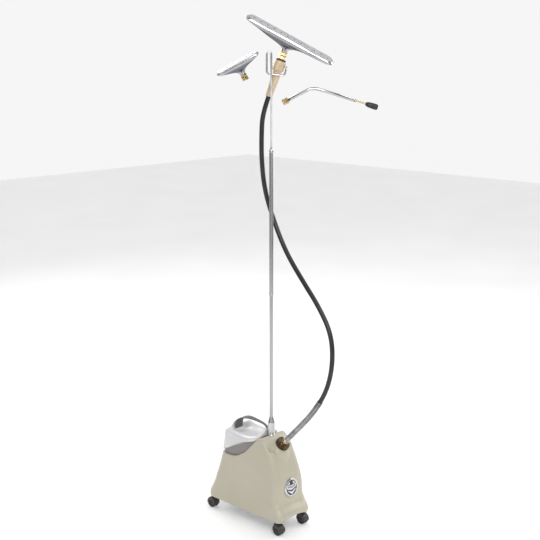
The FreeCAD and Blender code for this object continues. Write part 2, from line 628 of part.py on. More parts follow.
def make_bottle():
    """The bottle carries on the casing's outline above the seat line."""
    shell = doc.addObject("PartDesign::Body", "bottle_shell")
    hollow = doc.addObject("PartDesign::Body", "bottle_hollow")
    for body, inset, lift in ((shell, "0", "seat_gap"),
                              (hollow, "bottle_wall", "(seat_gap + bottle_wall)")):
        front = f"(seat_wall_y + seat_gap + {inset})"
        corners = [
            (f"upper_rear - {inset}", f"seat_height + {lift}"),
            ("seat_rise_y", f"seat_height + {lift}"),
            (f"seat_knee_y + {inset}", f"seat_knee_height + {lift}"),
            (front, f"seat_wall_height + {lift}"),
            (front, f"bottle_front_floor - {inset}"),
            ("20", f"bottle_floor - {inset}"),
            (f"bottle_hump_y + {inset}", f"bottle_floor - {inset}"),
            (f"bottle_hump_y + hump_slope + {inset}", f"bottle_hump - {inset}"),
            (f"bottle_rear - hump_slope - {inset}", f"bottle_hump - {inset}"),
            (f"bottle_rear - {inset}", "bottle_shoulder"),
        ]
        pad = body.newObject("PartDesign::Pad", f"{body.Name}_pad")
        pad.Profile = outline(body, f"{body.Name}_side", "YZ_Plane", corners)
        pad.Midplane = True
        tie(pad, Length=f"2 * (crown_half + 4 - {inset})")
        for side, way in ((1, "rear"), (-1, "front")):
            pocket = body.newObject("PartDesign::Pocket", f"{body.Name}_flank_{way}")
            pocket.Profile = outline(body, f"{body.Name}_flank_{way}_outline", "XZ_Plane", [
                (f"{side} * (upper_half - 1 - {inset})", "seat_height - 10"),
                (f"{side} * (crown_half - {inset})", "bottle_shoulder"),
                (f"{side} * (crown_half - 22 - {inset})", "bottle_hump + 10"),
                (f"{side} * (upper_half + 40)", "bottle_hump + 10"),
                (f"{side} * (upper_half + 40)", "seat_height - 10"),
            ])
            pocket.Midplane = True
            tie(pocket, Length="4 * skirt_rear")
    neck = cylinder("bottle_neck", "neck_radius", "neck_drop + 16", y="neck_y",
                    z="seat_height - neck_drop")
    mouth = cylinder("bottle_mouth", "neck_radius - bottle_wall", "neck_drop + 14",
                     y="neck_y", z="seat_height - neck_drop - 1")
    cut("water_bottle", fuse("bottle_blank", shell, neck), hollow, mouth)

    strap = doc.addObject("PartDesign::Body", "strap_band")
    pad = strap.newObject("PartDesign::Pad", "strap_pad")
    pad.Profile = outline(strap, "strap_outline", "YZ_Plane", [
        ("bottle_rear + strap_stand", "bottle_shoulder"),
        ("bottle_rear + strap_stand - 6", "bottle_shoulder + 24"),
        ("bottle_rear - 20", "strap_top - 12"), ("bottle_rear - 50", "strap_top"),
        ("strap_front", "strap_top - 3"), ("strap_front", "bottle_front_floor"),
        ("strap_front + strap_thick", "bottle_front_floor"),
        ("strap_front + strap_thick", "strap_top - 2 - strap_thick"),
        ("bottle_rear - 54", "strap_top - strap_thick"),
        ("bottle_rear - hump_slope - 16", "bottle_hump"),
        ("bottle_rear - hump_slope", "bottle_hump"), ("bottle_rear", "bottle_shoulder"),
    ])
    pad.Midplane = True
    tie(pad, Length="strap_width")
    cut("bottle_handle", strap, shell)

    turned("bottle_cap", [
        ("valve_rod + slip", "0"), ("cap_radius", "0"), ("cap_radius", "cap_height"),
        ("neck_radius", "cap_height"), ("neck_radius", "cap_wall + 3"),
        ("valve_rod + slip", "cap_wall + 3"),
    ], y="neck_y", z="seat_height - neck_drop - cap_wall - 5")
    turned("cap_gasket", [
        ("neck_radius - bottle_wall - 3", "0"), ("neck_radius", "0"), ("neck_radius", "2"),
        ("neck_radius - bottle_wall - 3", "2"),
    ], y="neck_y", z="seat_height - neck_drop - 2")
    turned("valve_plunger", [
        ("0", "0"), ("valve_rod", "0"), ("valve_rod", "cap_wall + 3 + valve_travel + gap"),
        ("8", "cap_wall + 3 + valve_travel + gap"), ("8", "cap_wall + 6 + valve_travel + gap"),
        ("0", "cap_wall + 6 + valve_travel + gap"),
    ], y="neck_y", z="seat_height - neck_drop - cap_wall - 5 - valve_travel")
    turned("valve_spring", [
        ("5", "0"), ("7", "0"), ("7", "8"), ("5", "8"),
    ], y="neck_y", z="seat_height - neck_drop + 1 + gap * 2")


def make_handle():
    foot, neck = "grip_foot", "grip_neck"
    grip = turned("grip_blank", [
        ("steam_tube", "0"), (foot, "0"), (f"{foot} + 0.8", "10"), (neck, "neck_place - 22"),
        (neck, "neck_place"), ("shoulder_radius", "shoulder_place"),
        ("shoulder_radius", "handle_long - 6"), ("shoulder_radius - 3", "handle_long"),
        ("steam_tube", "handle_long"),
    ])
    on_handle(grip, 0)
    grip.Label = "handle_grip"
    ring = turned("handle_ring", [
        ("steam_tube", "0"), ("ring_radius", "0"), ("ring_radius", "ring_thick"),
        ("steam_tube", "ring_thick"),
    ])
    on_handle(ring, size("handle_long"))
    reach = "handle_long + ring_thick + head_nut_long - tube_short"
    tube = turned("handle_tube", [
        ("steam_tube - steam_tube_wall", "0"), ("steam_tube", "0"), ("steam_tube", reach),
        ("steam_tube - steam_tube_wall", reach),
    ])
    on_handle(tube, 0)
    nut_foot = size("handle_long") + size("ring_thick")
    nut = hexagon_nut("head_nut", "head_nut_across", "head_nut_long", "steam_tube + slip")
    on_handle(nut, nut_foot + size("gap"))


def oblong(where, long, width, back):
    """A flat ring with round ends, in a placement's own plane."""
    points = []
    for step in range(16):
        angle = 2 * math.pi * (step + 0.5) / 16
        shift = math.copysign((long - width) / 2, math.cos(angle))
        points.append(where.multVec(Vector(shift + width / 2 * math.cos(angle),
                                           width / 2 * math.sin(angle), back)))
    return Part.makePolygon(points + points[:1])


def fan(neck, middle, face, neck_radius, long, wide, lip):
    """A fan-shaped head: ruled lofts from the round neck to the long flat face."""
    rise = (face.Base - middle.Base).Length
    sections = [
        oblong(neck, 2 * neck_radius, 2 * neck_radius, 0),
        oblong(neck, 2 * neck_radius, 2 * neck_radius, lip),
        oblong(middle, 0.22 * long, 2.3 * neck_radius, 0),
        oblong(middle, 0.62 * long, 0.86 * wide, 0.42 * rise),
        oblong(face, long, wide, -lip), oblong(face, long, wide, -size("face_thick")),
    ]
    return Part.makeLoft(sections, True, True)


def steam_head(name, neck, face, bore, neck_radius, long, wide, lip, holes, rake):
    """One head: its hollow cast body, and the flat face plate with a row of steam holes.

    The neck and the face are placements; the fan turns half of the rake at its middle.
    """
    reach = face.Base - neck.Base
    straight = face.Rotation.multiply(Rotation(Vector(1, 0, 0), -rake / 2))
    middle = Placement(neck.Base + reach * 0.42, straight)
    thick = size("face_thick")
    blank = fan(neck, middle, face, neck_radius, long, wide, lip)
    throat = Part.makeCylinder(bore, reach.Length - 2 * thick - 2, neck.Base, reach)
    chamber = Part.makeBox(long - wide, wide - 8, lip)
    chamber.translate(Vector(-(long - wide) / 2, -(wide - 8) / 2, -thick - lip + 1))
    chamber.Placement = face.multiply(chamber.Placement)
    shape_part(f"{name}_body", blank.cut(chamber).cut(throat))
    half, width = (long - wide) / 2, wide - 2
    plate = Part.makeBox(2 * half, width, thick, Vector(-half, -width / 2, -thick))
    ends = [Part.makeCylinder(width / 2, thick, Vector(side * half, 0, -thick))
            for side in (-1, 1)]
    plate = plate.fuse(ends).removeSplitter()
    pitch = 2 * half / (holes - 1)
    drilled = [Part.makeCylinder(size("face_hole"), thick + 2,
                                 Vector(step * pitch - half, 0, -thick - 1))
               for step in range(holes)]
    shape_part(f"{name}_face", plate.cut(drilled), face)


def make_heads():
    """The large head on the handle's nut, and the small head with a nut of its own."""
    neck = handle_point(size("handle_long") + size("ring_thick") + size("head_nut_long")
                        + 2 * size("gap"))
    face = Placement(
        bracket_point(size("head_u"), size("handle_depth"), size("head_height")),
        bracket_turn(size("head_slope"), size("head_rake")))
    steam_head("head", Placement(neck, HANDLE_TURN), face, size("steam_tube"),
               size("head_neck"), size("head_long"), size("head_wide"), size("head_lip"),
               int(size("face_holes")), size("head_rake"))

    turn = bracket_turn(size("small_slope"))
    face = Placement(
        bracket_point(size("small_u"), size("small_depth"), size("small_height")),
        bracket_turn(size("small_slope"), size("small_rake")))
    neck = face.Base + turn.multVec(Vector(0, 0, -size("small_drop")))
    steam_head("small_head", Placement(neck, turn), face, size("small_bore"),
               size("head_neck") - 1, size("small_long"), size("small_wide"),
               size("small_lip"), int(size("small_holes")), size("small_rake"))
    nut = hexagon_nut("small_head_nut", "small_nut_across", "small_nut_long",
                      "steam_tube + slip")
    below = turn.multVec(Vector(0, 0, -size("small_nut_long") - size("gap")))
    nut.Placement = Placement(neck + below, turn)


def make_pipe():
    """The pipe steamer: a bent tube with a nut at one end and a knob on a stud."""
    start = bracket_point(size("pipe_u"), 0, size("pipe_height"))

    def heading(slope):
        angle = math.radians(slope)
        return SWING.multVec(Vector(math.cos(angle), 0, math.sin(angle)))

    rise, fall = heading(size("pipe_rise")), heading(size("pipe_fall"))
    bend = start + rise * size("pipe_first")
    end = bend + fall * size("pipe_second")
    path, _ = rounded_path([start, bend, end], largest=size("pipe_bend"))
    shape_part("pipe_tube", tube_along(path, size("pipe_radius"), size("pipe_bore")))
    nut = hexagon_nut("pipe_nut", "pipe_nut_across", "pipe_nut_long", "pipe_radius + slip")
    rise_turn = Rotation(Vector(0, 0, 1), rise)
    nut.Placement = Placement(start - rise * (size("pipe_nut_long") / 2), rise_turn)
    fall_turn = Rotation(Vector(0, 0, 1), fall)
    stud = turned("pipe_stud", [
        ("0", "0"), ("pipe_bore", "0"), ("pipe_bore", "stud_plug"),
        ("pipe_radius", "stud_plug"), ("pipe_radius", "stud_plug + stud_collar"),
        ("stud_radius", "stud_plug + stud_collar"),
        ("stud_radius", "stud_plug + stud_collar + stud_long"),
        ("0", "stud_plug + stud_collar + stud_long"),
    ])
    stud.Placement = Placement(end - fall * size("stud_plug"), fall_turn)
    knob = turned("pipe_knob", [
        ("0", "knob_bore"), ("0", "knob_long"), ("knob_radius - 3", "knob_long"),
        ("knob_radius", "knob_long - 4"), ("knob_radius - 1.5", "8"),
        ("stud_radius + 2.5", "0"), ("stud_radius + slip", "0"),
        ("stud_radius + slip", "knob_bore"),
    ])
    tip = size("stud_collar") + size("stud_long")
    knob.Placement = Placement(end + fall * (tip + size("gap") - size("knob_bore")), fall_turn)


def make_casters():
    """Four twin-wheel casters; the front pair trails forwards and the rear pair backwards."""
    for name, side, end, trail in (
        ("front_left", -1, "caster_front", -1), ("front_right", 1, "caster_front", -1),
        ("rear_left", -1, "caster_rear", 1), ("rear_right", 1, "caster_rear", 1),
    ):
        x, y = f"{side} * caster_x", end
        axle_y = f"{end} + {trail} * caster_trail"
        stem = turned(f"caster_stem_{name}", [
            ("0", "0"), ("stem_radius", "0"), ("stem_radius", "stem_long"), ("0", "stem_long"),
        ], x=x, y=y, z="hood_top - stem_seat")
        dome = cylinder(f"hood_{name}_dome", "hood_radius",
                        "2 * wheel_wide + wheel_gap", x=f"{x} - wheel_wide - wheel_gap / 2",
                        y=axle_y, z="hood_top - hood_radius",
                        turn=Rotation(Vector(0, 1, 0), 90))
        post = cylinder(f"hood_{name}_post", "stem_radius + 4", "hood_post", x=x, y=y,
                        z="hood_top - hood_post")
        foot = block(f"hood_{name}_foot", "4 * wheel_radius", "4 * wheel_radius", "wheel_radius",
                     x=x, y=axle_y, z="0")
        wells = [cylinder(f"hood_{name}_well_{way}", "wheel_radius + 1", "wheel_wide + 2",
                          x=f"{x} + {start}", y=axle_y, z="wheel_radius",
                          turn=Rotation(Vector(0, 1, 0), 90))
                 for way, start in (("a", "wheel_gap / 2 - 1"),
                                    ("b", "-(wheel_gap / 2 + wheel_wide + 1)"))]
        web = block(f"hood_{name}_web", "wheel_gap - 2", "hood_radius * 1.4", "16",
                    x=x, y=axle_y, z="wheel_radius - 7")
        bore = cylinder(f"hood_{name}_bore", "axle_radius + slip", "wheel_gap + 4",
                        x=f"{x} - wheel_gap / 2 - 2", y=axle_y, z="wheel_radius",
                        turn=Rotation(Vector(0, 1, 0), 90))
        socket = cylinder(f"hood_{name}_socket", "stem_radius", "10", x=x, y=y,
                          z="hood_top - stem_seat")
        arch = cut(f"hood_{name}_arch", dome, foot)
        whole = fuse(f"hood_{name}_whole", arch, post, web)
        cut(f"caster_hood_{name}", whole, *wells, bore, socket)
        wheel_pair = [cylinder(f"wheel_{name}_{way}", "wheel_radius", "wheel_wide",
                               x=f"{x} + {start}", y=axle_y, z="wheel_radius",
                               turn=Rotation(Vector(0, 1, 0), 90))
                      for way, start in (("a", "wheel_gap / 2"),
                                         ("b", "-(wheel_gap / 2 + wheel_wide)"))]
        axle = cylinder(f"wheel_{name}_axle", "axle_radius", "wheel_gap + 2",
                        x=f"{x} - wheel_gap / 2 - 1", y=axle_y, z="wheel_radius",
                        turn=Rotation(Vector(0, 1, 0), 90))
        fuse(f"caster_wheels_{name}", *wheel_pair, axle)


def make_controls():
    """What sits in the rear face: the power inlet and the rocker switch; and the badge."""
    gland = turned("power_inlet_gland", [
        ("inlet_bore", "0"), ("inlet_radius - 2", "0"), ("inlet_radius - 2", "5"),
        ("inlet_radius", "5"), ("inlet_radius", "8"), ("inlet_radius - 2", "inlet_long + 4"),
        ("inlet_bore", "inlet_long + 4"),
    ])
    gland.Placement = Placement(rear_point(-size("switch_x"), -5), REAR_TURN)
    on_rear = Placement(rear_point(size("switch_x")), REAR_TURN)
    wide, high = size("switch_wide"), size("switch_high")
    lip = Part.makeBox(wide + 6, high + 6, 2.5, Vector(-wide / 2 - 3, -high / 2 - 3, 0))
    throat = Part.makeBox(wide - 1, high - 1, 16, Vector(-wide / 2 + 0.5, -high / 2 + 0.5, -16))
    window = Part.makeBox(wide - 5, high - 5, 17, Vector(-wide / 2 + 2.5, -high / 2 + 2.5, -14))
    shape_part("switch_bezel", lip.fuse(throat).cut(window), on_rear)
    start, end = -(wide - 6) / 2, high / 2 - size("rocker_play")
    profile = Part.makePolygon([
        Vector(start, -end, 1), Vector(start, 0, -1), Vector(start, end, 4),
        Vector(start, end, -4), Vector(start, 0, -9), Vector(start, -end, -4),
        Vector(start, -end, 1),
    ])
    rocker = Part.Face(profile).extrude(Vector(wide - 6, 0, 0))
    shape_part("switch_rocker", rocker, on_rear)

    front_lean = math.degrees(math.atan2(size("belly_front") - size("waist_front"),
                                         size("belly_height") - size("waist_height")))
    rise = size("badge_height") - size("waist_height")
    front = size("waist_front") + rise * math.tan(math.radians(front_lean))
    badge = turned("badge", [
        ("0", "0"), ("badge_radius", "0"), ("badge_radius", "badge_thick - 1"),
        ("badge_radius - 4", "badge_thick"), ("0", "badge_thick"),
    ])
    badge.Placement = Placement(Vector(0, front, size("badge_height")),
                                Rotation(Vector(1, 0, 0), 90 - front_lean))
    block("thermostat", "24", "18", "12", x="-boiler_radius / 2", y="boiler_y + 16",
          z="boiler_floor + boiler_depth + gasket_thick + lid_thick")
    block("terminal_block", "34", "16", "14", x="-switch_x", y="waist_rear - 54",
          z="rim_height + plate_lift + plate_thick")


make_casing()
make_base()
make_boiler()
make_outlet()
make_hose()
make_pole()
make_well_and_feed()
make_bottle()
make_handle()
make_heads()
make_pipe()
make_casters()
make_controls()
doc.getObject("hook_plug").Label = "hook_collar"

NODES = [
    "casing", "base_plate", "base_plate_screws", "boiler_tank", "boiler_gasket", "boiler_lid",
    "boiler_bolts", "heating_element", "steam_elbow", "hose_fitting", "fitting_collar",
    "hose_nut", "steam_hose", "hose_spring", "pole_socket", "lower_pole", "upper_pole",
    "hook_collar", "hanger_hook", "reservoir_well", "feed_tube", "water_bottle",
    "bottle_handle", "bottle_cap", "cap_gasket", "valve_plunger", "valve_spring",
    "handle_grip", "handle_ring", "handle_tube", "head_nut", "head_body", "head_face",
    "small_head_nut", "small_head_body", "small_head_face", "pipe_nut", "pipe_tube",
    "pipe_stud", "pipe_knob", "power_inlet_gland", "switch_bezel", "switch_rocker", "badge",
    "thermostat", "terminal_block",
] + [f"caster_{piece}_{corner}" for piece in ("hood", "stem", "wheels")
     for corner in ("front_left", "front_right", "rear_left", "rear_right")]

doc.recompute()
faults = [item.Name for item in doc.Objects if {"Invalid", "Error"} & set(item.State)]
shapes = {}
for node in NODES:
    found = doc.getObjectsByLabel(node)
    if len(found) != 1:
        faults.append(f"{node}: {len(found)} objects have this label")
        continue
    shape = found[0].Shape
    if shape.isNull() or not shape.isValid() or not shape.Solids:
        faults.append(f"{node}: no sound solid")
    shapes[node] = shape
if faults:
    raise RuntimeError("part not built: " + "; ".join(faults))
for node, shape in shapes.items():
    shape.exportStep(f"parts/{node}.step")
    print(f"{node}: {len(shape.Solids)} solid(s), {shape.Volume / 1000:.1f} cm3")
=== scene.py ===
# %% [markdown]
# # A garment steamer, finished piece by piece
# The steamer's working model is a set of plain solids: a casing, a bottle, a pole, casters
# and so on. This lesson loads those solids as a fixed frame and gives each one its final
# surface. Everything is in metres, +Z is up, and the front of the casing looks along -Y.

# %% Load the frame
import json
import math

import bmesh
import bpy
import numpy as np
from mathutils import Matrix, Vector


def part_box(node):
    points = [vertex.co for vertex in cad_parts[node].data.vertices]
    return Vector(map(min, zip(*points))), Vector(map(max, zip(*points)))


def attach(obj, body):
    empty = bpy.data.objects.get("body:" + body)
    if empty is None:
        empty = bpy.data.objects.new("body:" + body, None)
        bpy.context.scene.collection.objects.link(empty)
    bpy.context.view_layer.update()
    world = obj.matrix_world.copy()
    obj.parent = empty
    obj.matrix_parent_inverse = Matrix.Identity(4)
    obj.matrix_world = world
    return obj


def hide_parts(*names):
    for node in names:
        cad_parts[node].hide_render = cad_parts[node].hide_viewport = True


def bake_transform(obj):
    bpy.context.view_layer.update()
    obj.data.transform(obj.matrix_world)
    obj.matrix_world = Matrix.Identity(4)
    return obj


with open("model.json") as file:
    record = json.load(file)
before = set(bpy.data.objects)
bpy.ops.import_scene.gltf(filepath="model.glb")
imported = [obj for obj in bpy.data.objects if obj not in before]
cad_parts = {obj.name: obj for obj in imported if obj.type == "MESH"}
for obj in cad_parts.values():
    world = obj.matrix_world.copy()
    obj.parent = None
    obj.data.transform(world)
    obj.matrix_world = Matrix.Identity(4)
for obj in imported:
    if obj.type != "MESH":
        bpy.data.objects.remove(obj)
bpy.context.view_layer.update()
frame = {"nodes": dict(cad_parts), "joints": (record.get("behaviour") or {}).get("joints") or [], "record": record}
MM = 0.001
JOINTS = {joint["name"]: joint for joint in frame["joints"]}

# %% [markdown]
# ## Grids become meshes
# Nearly every piece here is one surface with two parameters: along it and round it. If the
# points sit in a grid, the faces are always the same pattern of neighbours, so one helper can
# turn any grid into a mesh. Where a row shrinks to a single point, as at a pole, its doubled
# corners are merged afterwards, which leaves clean triangles.

# %% Mesh helpers
def merged(mesh, closed, distance=1e-6):
    """Merges corners that share a place, and turns the faces of a closed mesh outwards."""
    work = bmesh.new()
    work.from_mesh(mesh)
    bmesh.ops.remove_doubles(work, verts=work.verts, dist=distance)
    bmesh.ops.dissolve_degenerate(work, edges=work.edges, dist=distance)
    if closed:
        bmesh.ops.recalc_face_normals(work, faces=work.faces)
    work.to_mesh(mesh)
    work.free()


def mesh_object(name, points, faces, closed=True, smooth=True, **values):
    """A mesh from points and faces, with any attribute given as one number a point."""
    mesh = bpy.data.meshes.new(name)
    mesh.from_pydata(points.tolist(), [], faces.tolist())
    for attribute, numbers in values.items():
        layer = mesh.attributes.new(attribute, "FLOAT", "POINT")
        layer.data.foreach_set("value", numbers.astype(np.float32).ravel())
    merged(mesh, closed)
    mesh.polygons.foreach_set("use_smooth", [smooth] * len(mesh.polygons))
    piece = bpy.data.objects.new(name, mesh)
    bpy.context.scene.collection.objects.link(piece)
    return piece


def grid_faces(rows, columns, around=True, first=0):
    """Faces of a grid whose rows go up and whose columns go round, anticlockwise from above."""
    last = columns if around else columns - 1
    row, column = np.meshgrid(np.arange(rows - 1), np.arange(last), indexing="ij")
    after = (column + 1) % columns
    corners = [row * columns + column, row * columns + after,
               (row + 1) * columns + after, (row + 1) * columns + column]
    return np.stack(corners, axis=-1).reshape(-1, 4) + first


def grids_object(name, grids, strips=(), **ways):
    """One mesh from grids that go round, and strips that don't, each (rows, columns, 3)."""
    points, faces, first = [], [], 0
    for grid, around in [(grid, True) for grid in grids] + [(strip, False) for strip in strips]:
        rows, columns = grid.shape[:2]
        points.append(grid.reshape(-1, 3))
        faces.append(grid_faces(rows, columns, around, first))
        first += rows * columns
    return mesh_object(name, np.concatenate(points), np.concatenate(faces), **ways)


def sharpen(piece, degrees):
    """Shades each edge as a real one where its two faces meet at more than an angle."""
    limit = math.radians(degrees)
    work = bmesh.new()
    work.from_mesh(piece.data)
    for edge in work.edges:
        edge.smooth = len(edge.link_faces) == 2 and edge.calc_face_angle(0) < limit
    work.to_mesh(piece.data)
    work.free()
    return piece


def finish_piece(piece, body, material, slot, *nodes):
    """Gives a piece its material and body, and hides the solids that it stands for."""
    piece.data.materials.clear()
    piece.data.materials.append(material)
    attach(piece, body)
    if nodes:
        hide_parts(*nodes)
    print(piece.name, len(piece.data.polygons), "faces, on", body)
    return piece


# %% [markdown]
# ## Curves for outlines
# An outline is given by only the few points its shape needs. A smooth stretch is a cubic
# through them, and a made edge is a short curve of a stated radius. Both work on whole arrays.

# %% Outline helpers
def smooth_through(x, xs, ys):
    """A cubic through (xs, ys) whose slope at each point is that of its neighbours."""
    xs, ys = np.asarray(xs, float), np.asarray(ys, float)
    slopes = np.gradient(ys, xs)
    x = np.clip(x, xs[0], xs[-1])
    i = np.clip(np.searchsorted(xs, x) - 1, 0, len(xs) - 2)
    width = xs[i + 1] - xs[i]
    t = (x - xs[i]) / width
    start = (2 * t**3 - 3 * t**2 + 1) * ys[i] + (t**3 - 2 * t**2 + t) * width * slopes[i]
    end = (3 * t**2 - 2 * t**3) * ys[i + 1] + (t**3 - t**2) * width * slopes[i + 1]
    return start + end


def eased(corners, radius, steps=5):
    """Turns each inner corner into a curve tangent to both sides: (1-t)^2 a + 2t(1-t) c + t^2 b."""
    corners = [np.asarray(corner, float) for corner in corners]
    outline = [corners[0][None]]
    for before, corner, after in zip(corners, corners[1:], corners[2:]):
        back, on = before - corner, after - corner
        lengths = np.linalg.norm(back), np.linalg.norm(on)
        back, on = back / lengths[0], on / lengths[1]
        half = np.arccos(np.clip(back @ on, -1, 1)) / 2
        cut = min(radius / math.tan(half), 0.49 * min(lengths))
        t = np.linspace(0, 1, steps)[:, None]
        bend = (1 - t) ** 2 * (corner + back * cut) + t**2 * (corner + on * cut)
        outline.append(bend + 2 * t * (1 - t) * corner)
    outline.append(corners[-1][None])
    return np.concatenate(outline)


def step_between(x, low, high):
    """Rises smoothly from 0 at low to 1 at high, as 3 t^2 - 2 t^3."""
    t = np.clip((x - low) / (high - low), 0, 1)
    return t * t * (3 - 2 * t)


# %% [markdown]
# ## Turned and drawn pieces
# A turned piece is an outline of radius and height carried round an axis. A drawn piece is a
# round section carried along a path; its section must not twist, so each station's frame is
# the one before it, turned only as much as the path turns.

# %% Turning and drawing
def axes_from(direction, hint=(0, 0, 1)):
    """Three unit vectors, the last along a direction."""
    w = np.asarray(direction, float)
    w = w / np.linalg.norm(w)
    u = np.cross(hint, w)
    if np.linalg.norm(u) < 1e-6:
        u = np.cross((1, 0, 0), w)
    u = u / np.linalg.norm(u)
    return np.array([u, np.cross(w, u), w])


def placed(points, origin, axes):
    """Points in a piece's own frame, moved to its place: origin + points times axes."""
    return np.asarray(origin, float) + points @ axes


def turned_grid(outline, steps=64, origin=(0, 0, 0), axes=np.eye(3), ripple=None):
    """(radius, height) carried round the axis; ripple(angle, row) scales the radius."""
    angle = np.linspace(0, 2 * np.pi, steps, endpoint=False)
    radius, height = outline[:, :1], outline[:, 1:2]
    scale = 1 if ripple is None else ripple(angle[None], np.arange(len(outline))[:, None])
    ring = np.stack([radius * np.cos(angle) * scale, radius * np.sin(angle) * scale,
                     height + 0 * angle], axis=-1)
    return placed(ring, origin, axes)


def closed_tube(grid):
    """Closes a turned surface onto its bore by repeating its first row."""
    return np.concatenate([grid, grid[:1]])


def carried_frames(path):
    """Two directions across each station: the last one's, less its part along the path."""
    tangent = np.gradient(path, axis=0)
    tangent /= np.linalg.norm(tangent, axis=1)[:, None]
    across = np.empty_like(path)
    across[0] = axes_from(tangent[0])[0]
    for i in range(1, len(path)):
        step = across[i - 1] - tangent[i] * (across[i - 1] @ tangent[i])
        across[i] = step / np.linalg.norm(step)
    return across, np.cross(tangent, across)


def drawn_grid(path, radius, steps):
    """A round bar along a path: centre + radius (across cos a + other sin a), with its ends."""
    across, other = carried_frames(path)
    angle = np.linspace(0, 2 * np.pi, steps, endpoint=False)
    ring = (across[:, None] * np.cos(angle)[None, :, None]
            + other[:, None] * np.sin(angle)[None, :, None])
    grid = path[:, None] + radius * ring
    ends = [np.repeat(path[i][None, None], steps, axis=1) for i in (0, -1)]
    return np.concatenate([ends[0], grid, ends[1]])


def spline_points(name, controls, resolution=16):
    """The points of a smooth NURBS line with these control points."""
    data = bpy.data.curves.new(name, "CURVE")
    data.dimensions = "3D"
    data.resolution_u = resolution
    spline = data.splines.new("NURBS")
    spline.points.add(len(controls) - 1)
    for point, place in zip(spline.points, controls):
        point.co = (*place, 1)
    spline.order_u = 3
    spline.use_endpoint_u = True
    line = bpy.data.objects.new(name, data)
    mesh = bpy.data.meshes.new_from_object(line)
    path = np.empty(len(mesh.vertices) * 3)
    mesh.vertices.foreach_get("co", path)
    bpy.data.meshes.remove(mesh)
    bpy.data.objects.remove(line)
    bpy.data.curves.remove(data)
    return path.reshape(-1, 3)


# %% [markdown]
# ## Camera first, then the hose
# The steamer is seen from its front left, a little from above. The camera comes first because
# a loose hose has to be judged against it.

# %% Camera
POLE_LOW, POLE_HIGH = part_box("lower_pole")
POLE = np.array([(POLE_LOW.x + POLE_HIGH.x) / 2, (POLE_LOW.y + POLE_HIGH.y) / 2, 0])
VIEW_TURN = math.radians(-46.4)
CAMERA_FAR, CAMERA_HEIGHT, CAMERA_DIP = 3.4, 1.66, math.radians(12.3)


def make_camera():
    """Stands CAMERA_FAR from the pole, turned round it by VIEW_TURN and dipped below level."""
    data = bpy.data.cameras.new("camera")
    camera = bpy.data.objects.new("camera", data)
    bpy.context.scene.collection.objects.link(camera)
    data.lens = 68.3
    data.shift_x = -0.0024
    camera.location = (POLE[0] + CAMERA_FAR * math.sin(VIEW_TURN),
                       POLE[1] - CAMERA_FAR * math.cos(VIEW_TURN), CAMERA_HEIGHT)
    camera.rotation_euler = (math.pi / 2 - CAMERA_DIP, 0, VIEW_TURN)
    bpy.context.scene.camera = camera
    return camera


make_camera()

# The bracket, handle and loose pieces lie in planes that face the same way as this turn.
TURN = np.array([[math.cos(VIEW_TURN), math.sin(VIEW_TURN), 0],
                 [-math.sin(VIEW_TURN), math.cos(VIEW_TURN), 0], [0, 0, 1]])


def bracket(across, depth, height):
    """A point given across, behind and above, in the turned frame on the pole."""
    return POLE + np.array([across, depth, height]) @ TURN


# %% [markdown]
# ## What finishes are made of
# A finish here is one Principled shader with three things worked into it: a slow change of
# colour, a change of gloss, and a fine bump. All three read Object coordinates, so they stay on
# the piece when it moves. One function builds that, and each real finish is a call to it.

# %% A finish
def ramp_node(tree, source, low, high, start=0.35, end=0.65):
    """Colours between low and high where the source goes from start to end."""
    ramp = tree.nodes.new("ShaderNodeValToRGB")
    ramp.color_ramp.elements[0].position = start
    ramp.color_ramp.elements[1].position = end
    ramp.color_ramp.elements[0].color = (*low, 1)
    ramp.color_ramp.elements[1].color = (*high, 1)
    tree.links.new(source, ramp.inputs["Fac"])
    return ramp


def noise_node(tree, scale, stretch=(1, 1, 1), turn=(0, 0, 0), detail=3):
    """Noise on Object coordinates, drawn out along an axis that may be turned."""
    place = tree.nodes.new("ShaderNodeTexCoord")
    mapping = tree.nodes.new("ShaderNodeMapping")
    mapping.vector_type = "TEXTURE"
    mapping.inputs["Rotation"].default_value = turn
    mapping.inputs["Scale"].default_value = stretch
    tree.links.new(place.outputs["Object"], mapping.inputs["Vector"])
    noise = tree.nodes.new("ShaderNodeTexNoise")
    noise.inputs["Scale"].default_value = scale
    noise.inputs["Detail"].default_value = detail
    tree.links.new(mapping.outputs["Vector"], noise.inputs["Vector"])
    return noise.outputs["Fac"]


def finish(name, low, high, rough, spread=0.05, metal=0.0, cloud=12, grain=900, bump=0.05,
           stretch=(1, 1, 1), turn=(0, 0, 0), **sockets):
    """A node material: colour clouds from low to high, gloss that varies, and a fine bump."""
    material = bpy.data.materials.new(name)
    material.use_nodes = True
    tree = material.node_tree
    shader = tree.nodes["Principled BSDF"]
    shader.inputs["Metallic"].default_value = metal
    for socket, value in sockets.items():
        shader.inputs[socket.replace("_", " ")].default_value = value
    clouds = noise_node(tree, cloud, stretch, turn)
    colours = ramp_node(tree, clouds, low, high)
    tree.links.new(colours.outputs["Color"], shader.inputs["Base Color"])
    fine = noise_node(tree, grain, stretch, turn, detail=2)
    gloss = tree.nodes.new("ShaderNodeMapRange")
    gloss.inputs["To Min"].default_value = rough - spread
    gloss.inputs["To Max"].default_value = rough + spread
    tree.links.new(fine, gloss.inputs["Value"])
    tree.links.new(gloss.outputs["Result"], shader.inputs["Roughness"])
    relief = tree.nodes.new("ShaderNodeBump")
    relief.inputs["Strength"].default_value = bump
    relief.inputs["Distance"].default_value = 0.0004
    tree.links.new(fine, relief.inputs["Height"])
    tree.links.new(relief.outputs["Normal"], shader.inputs["Normal"])
    return material


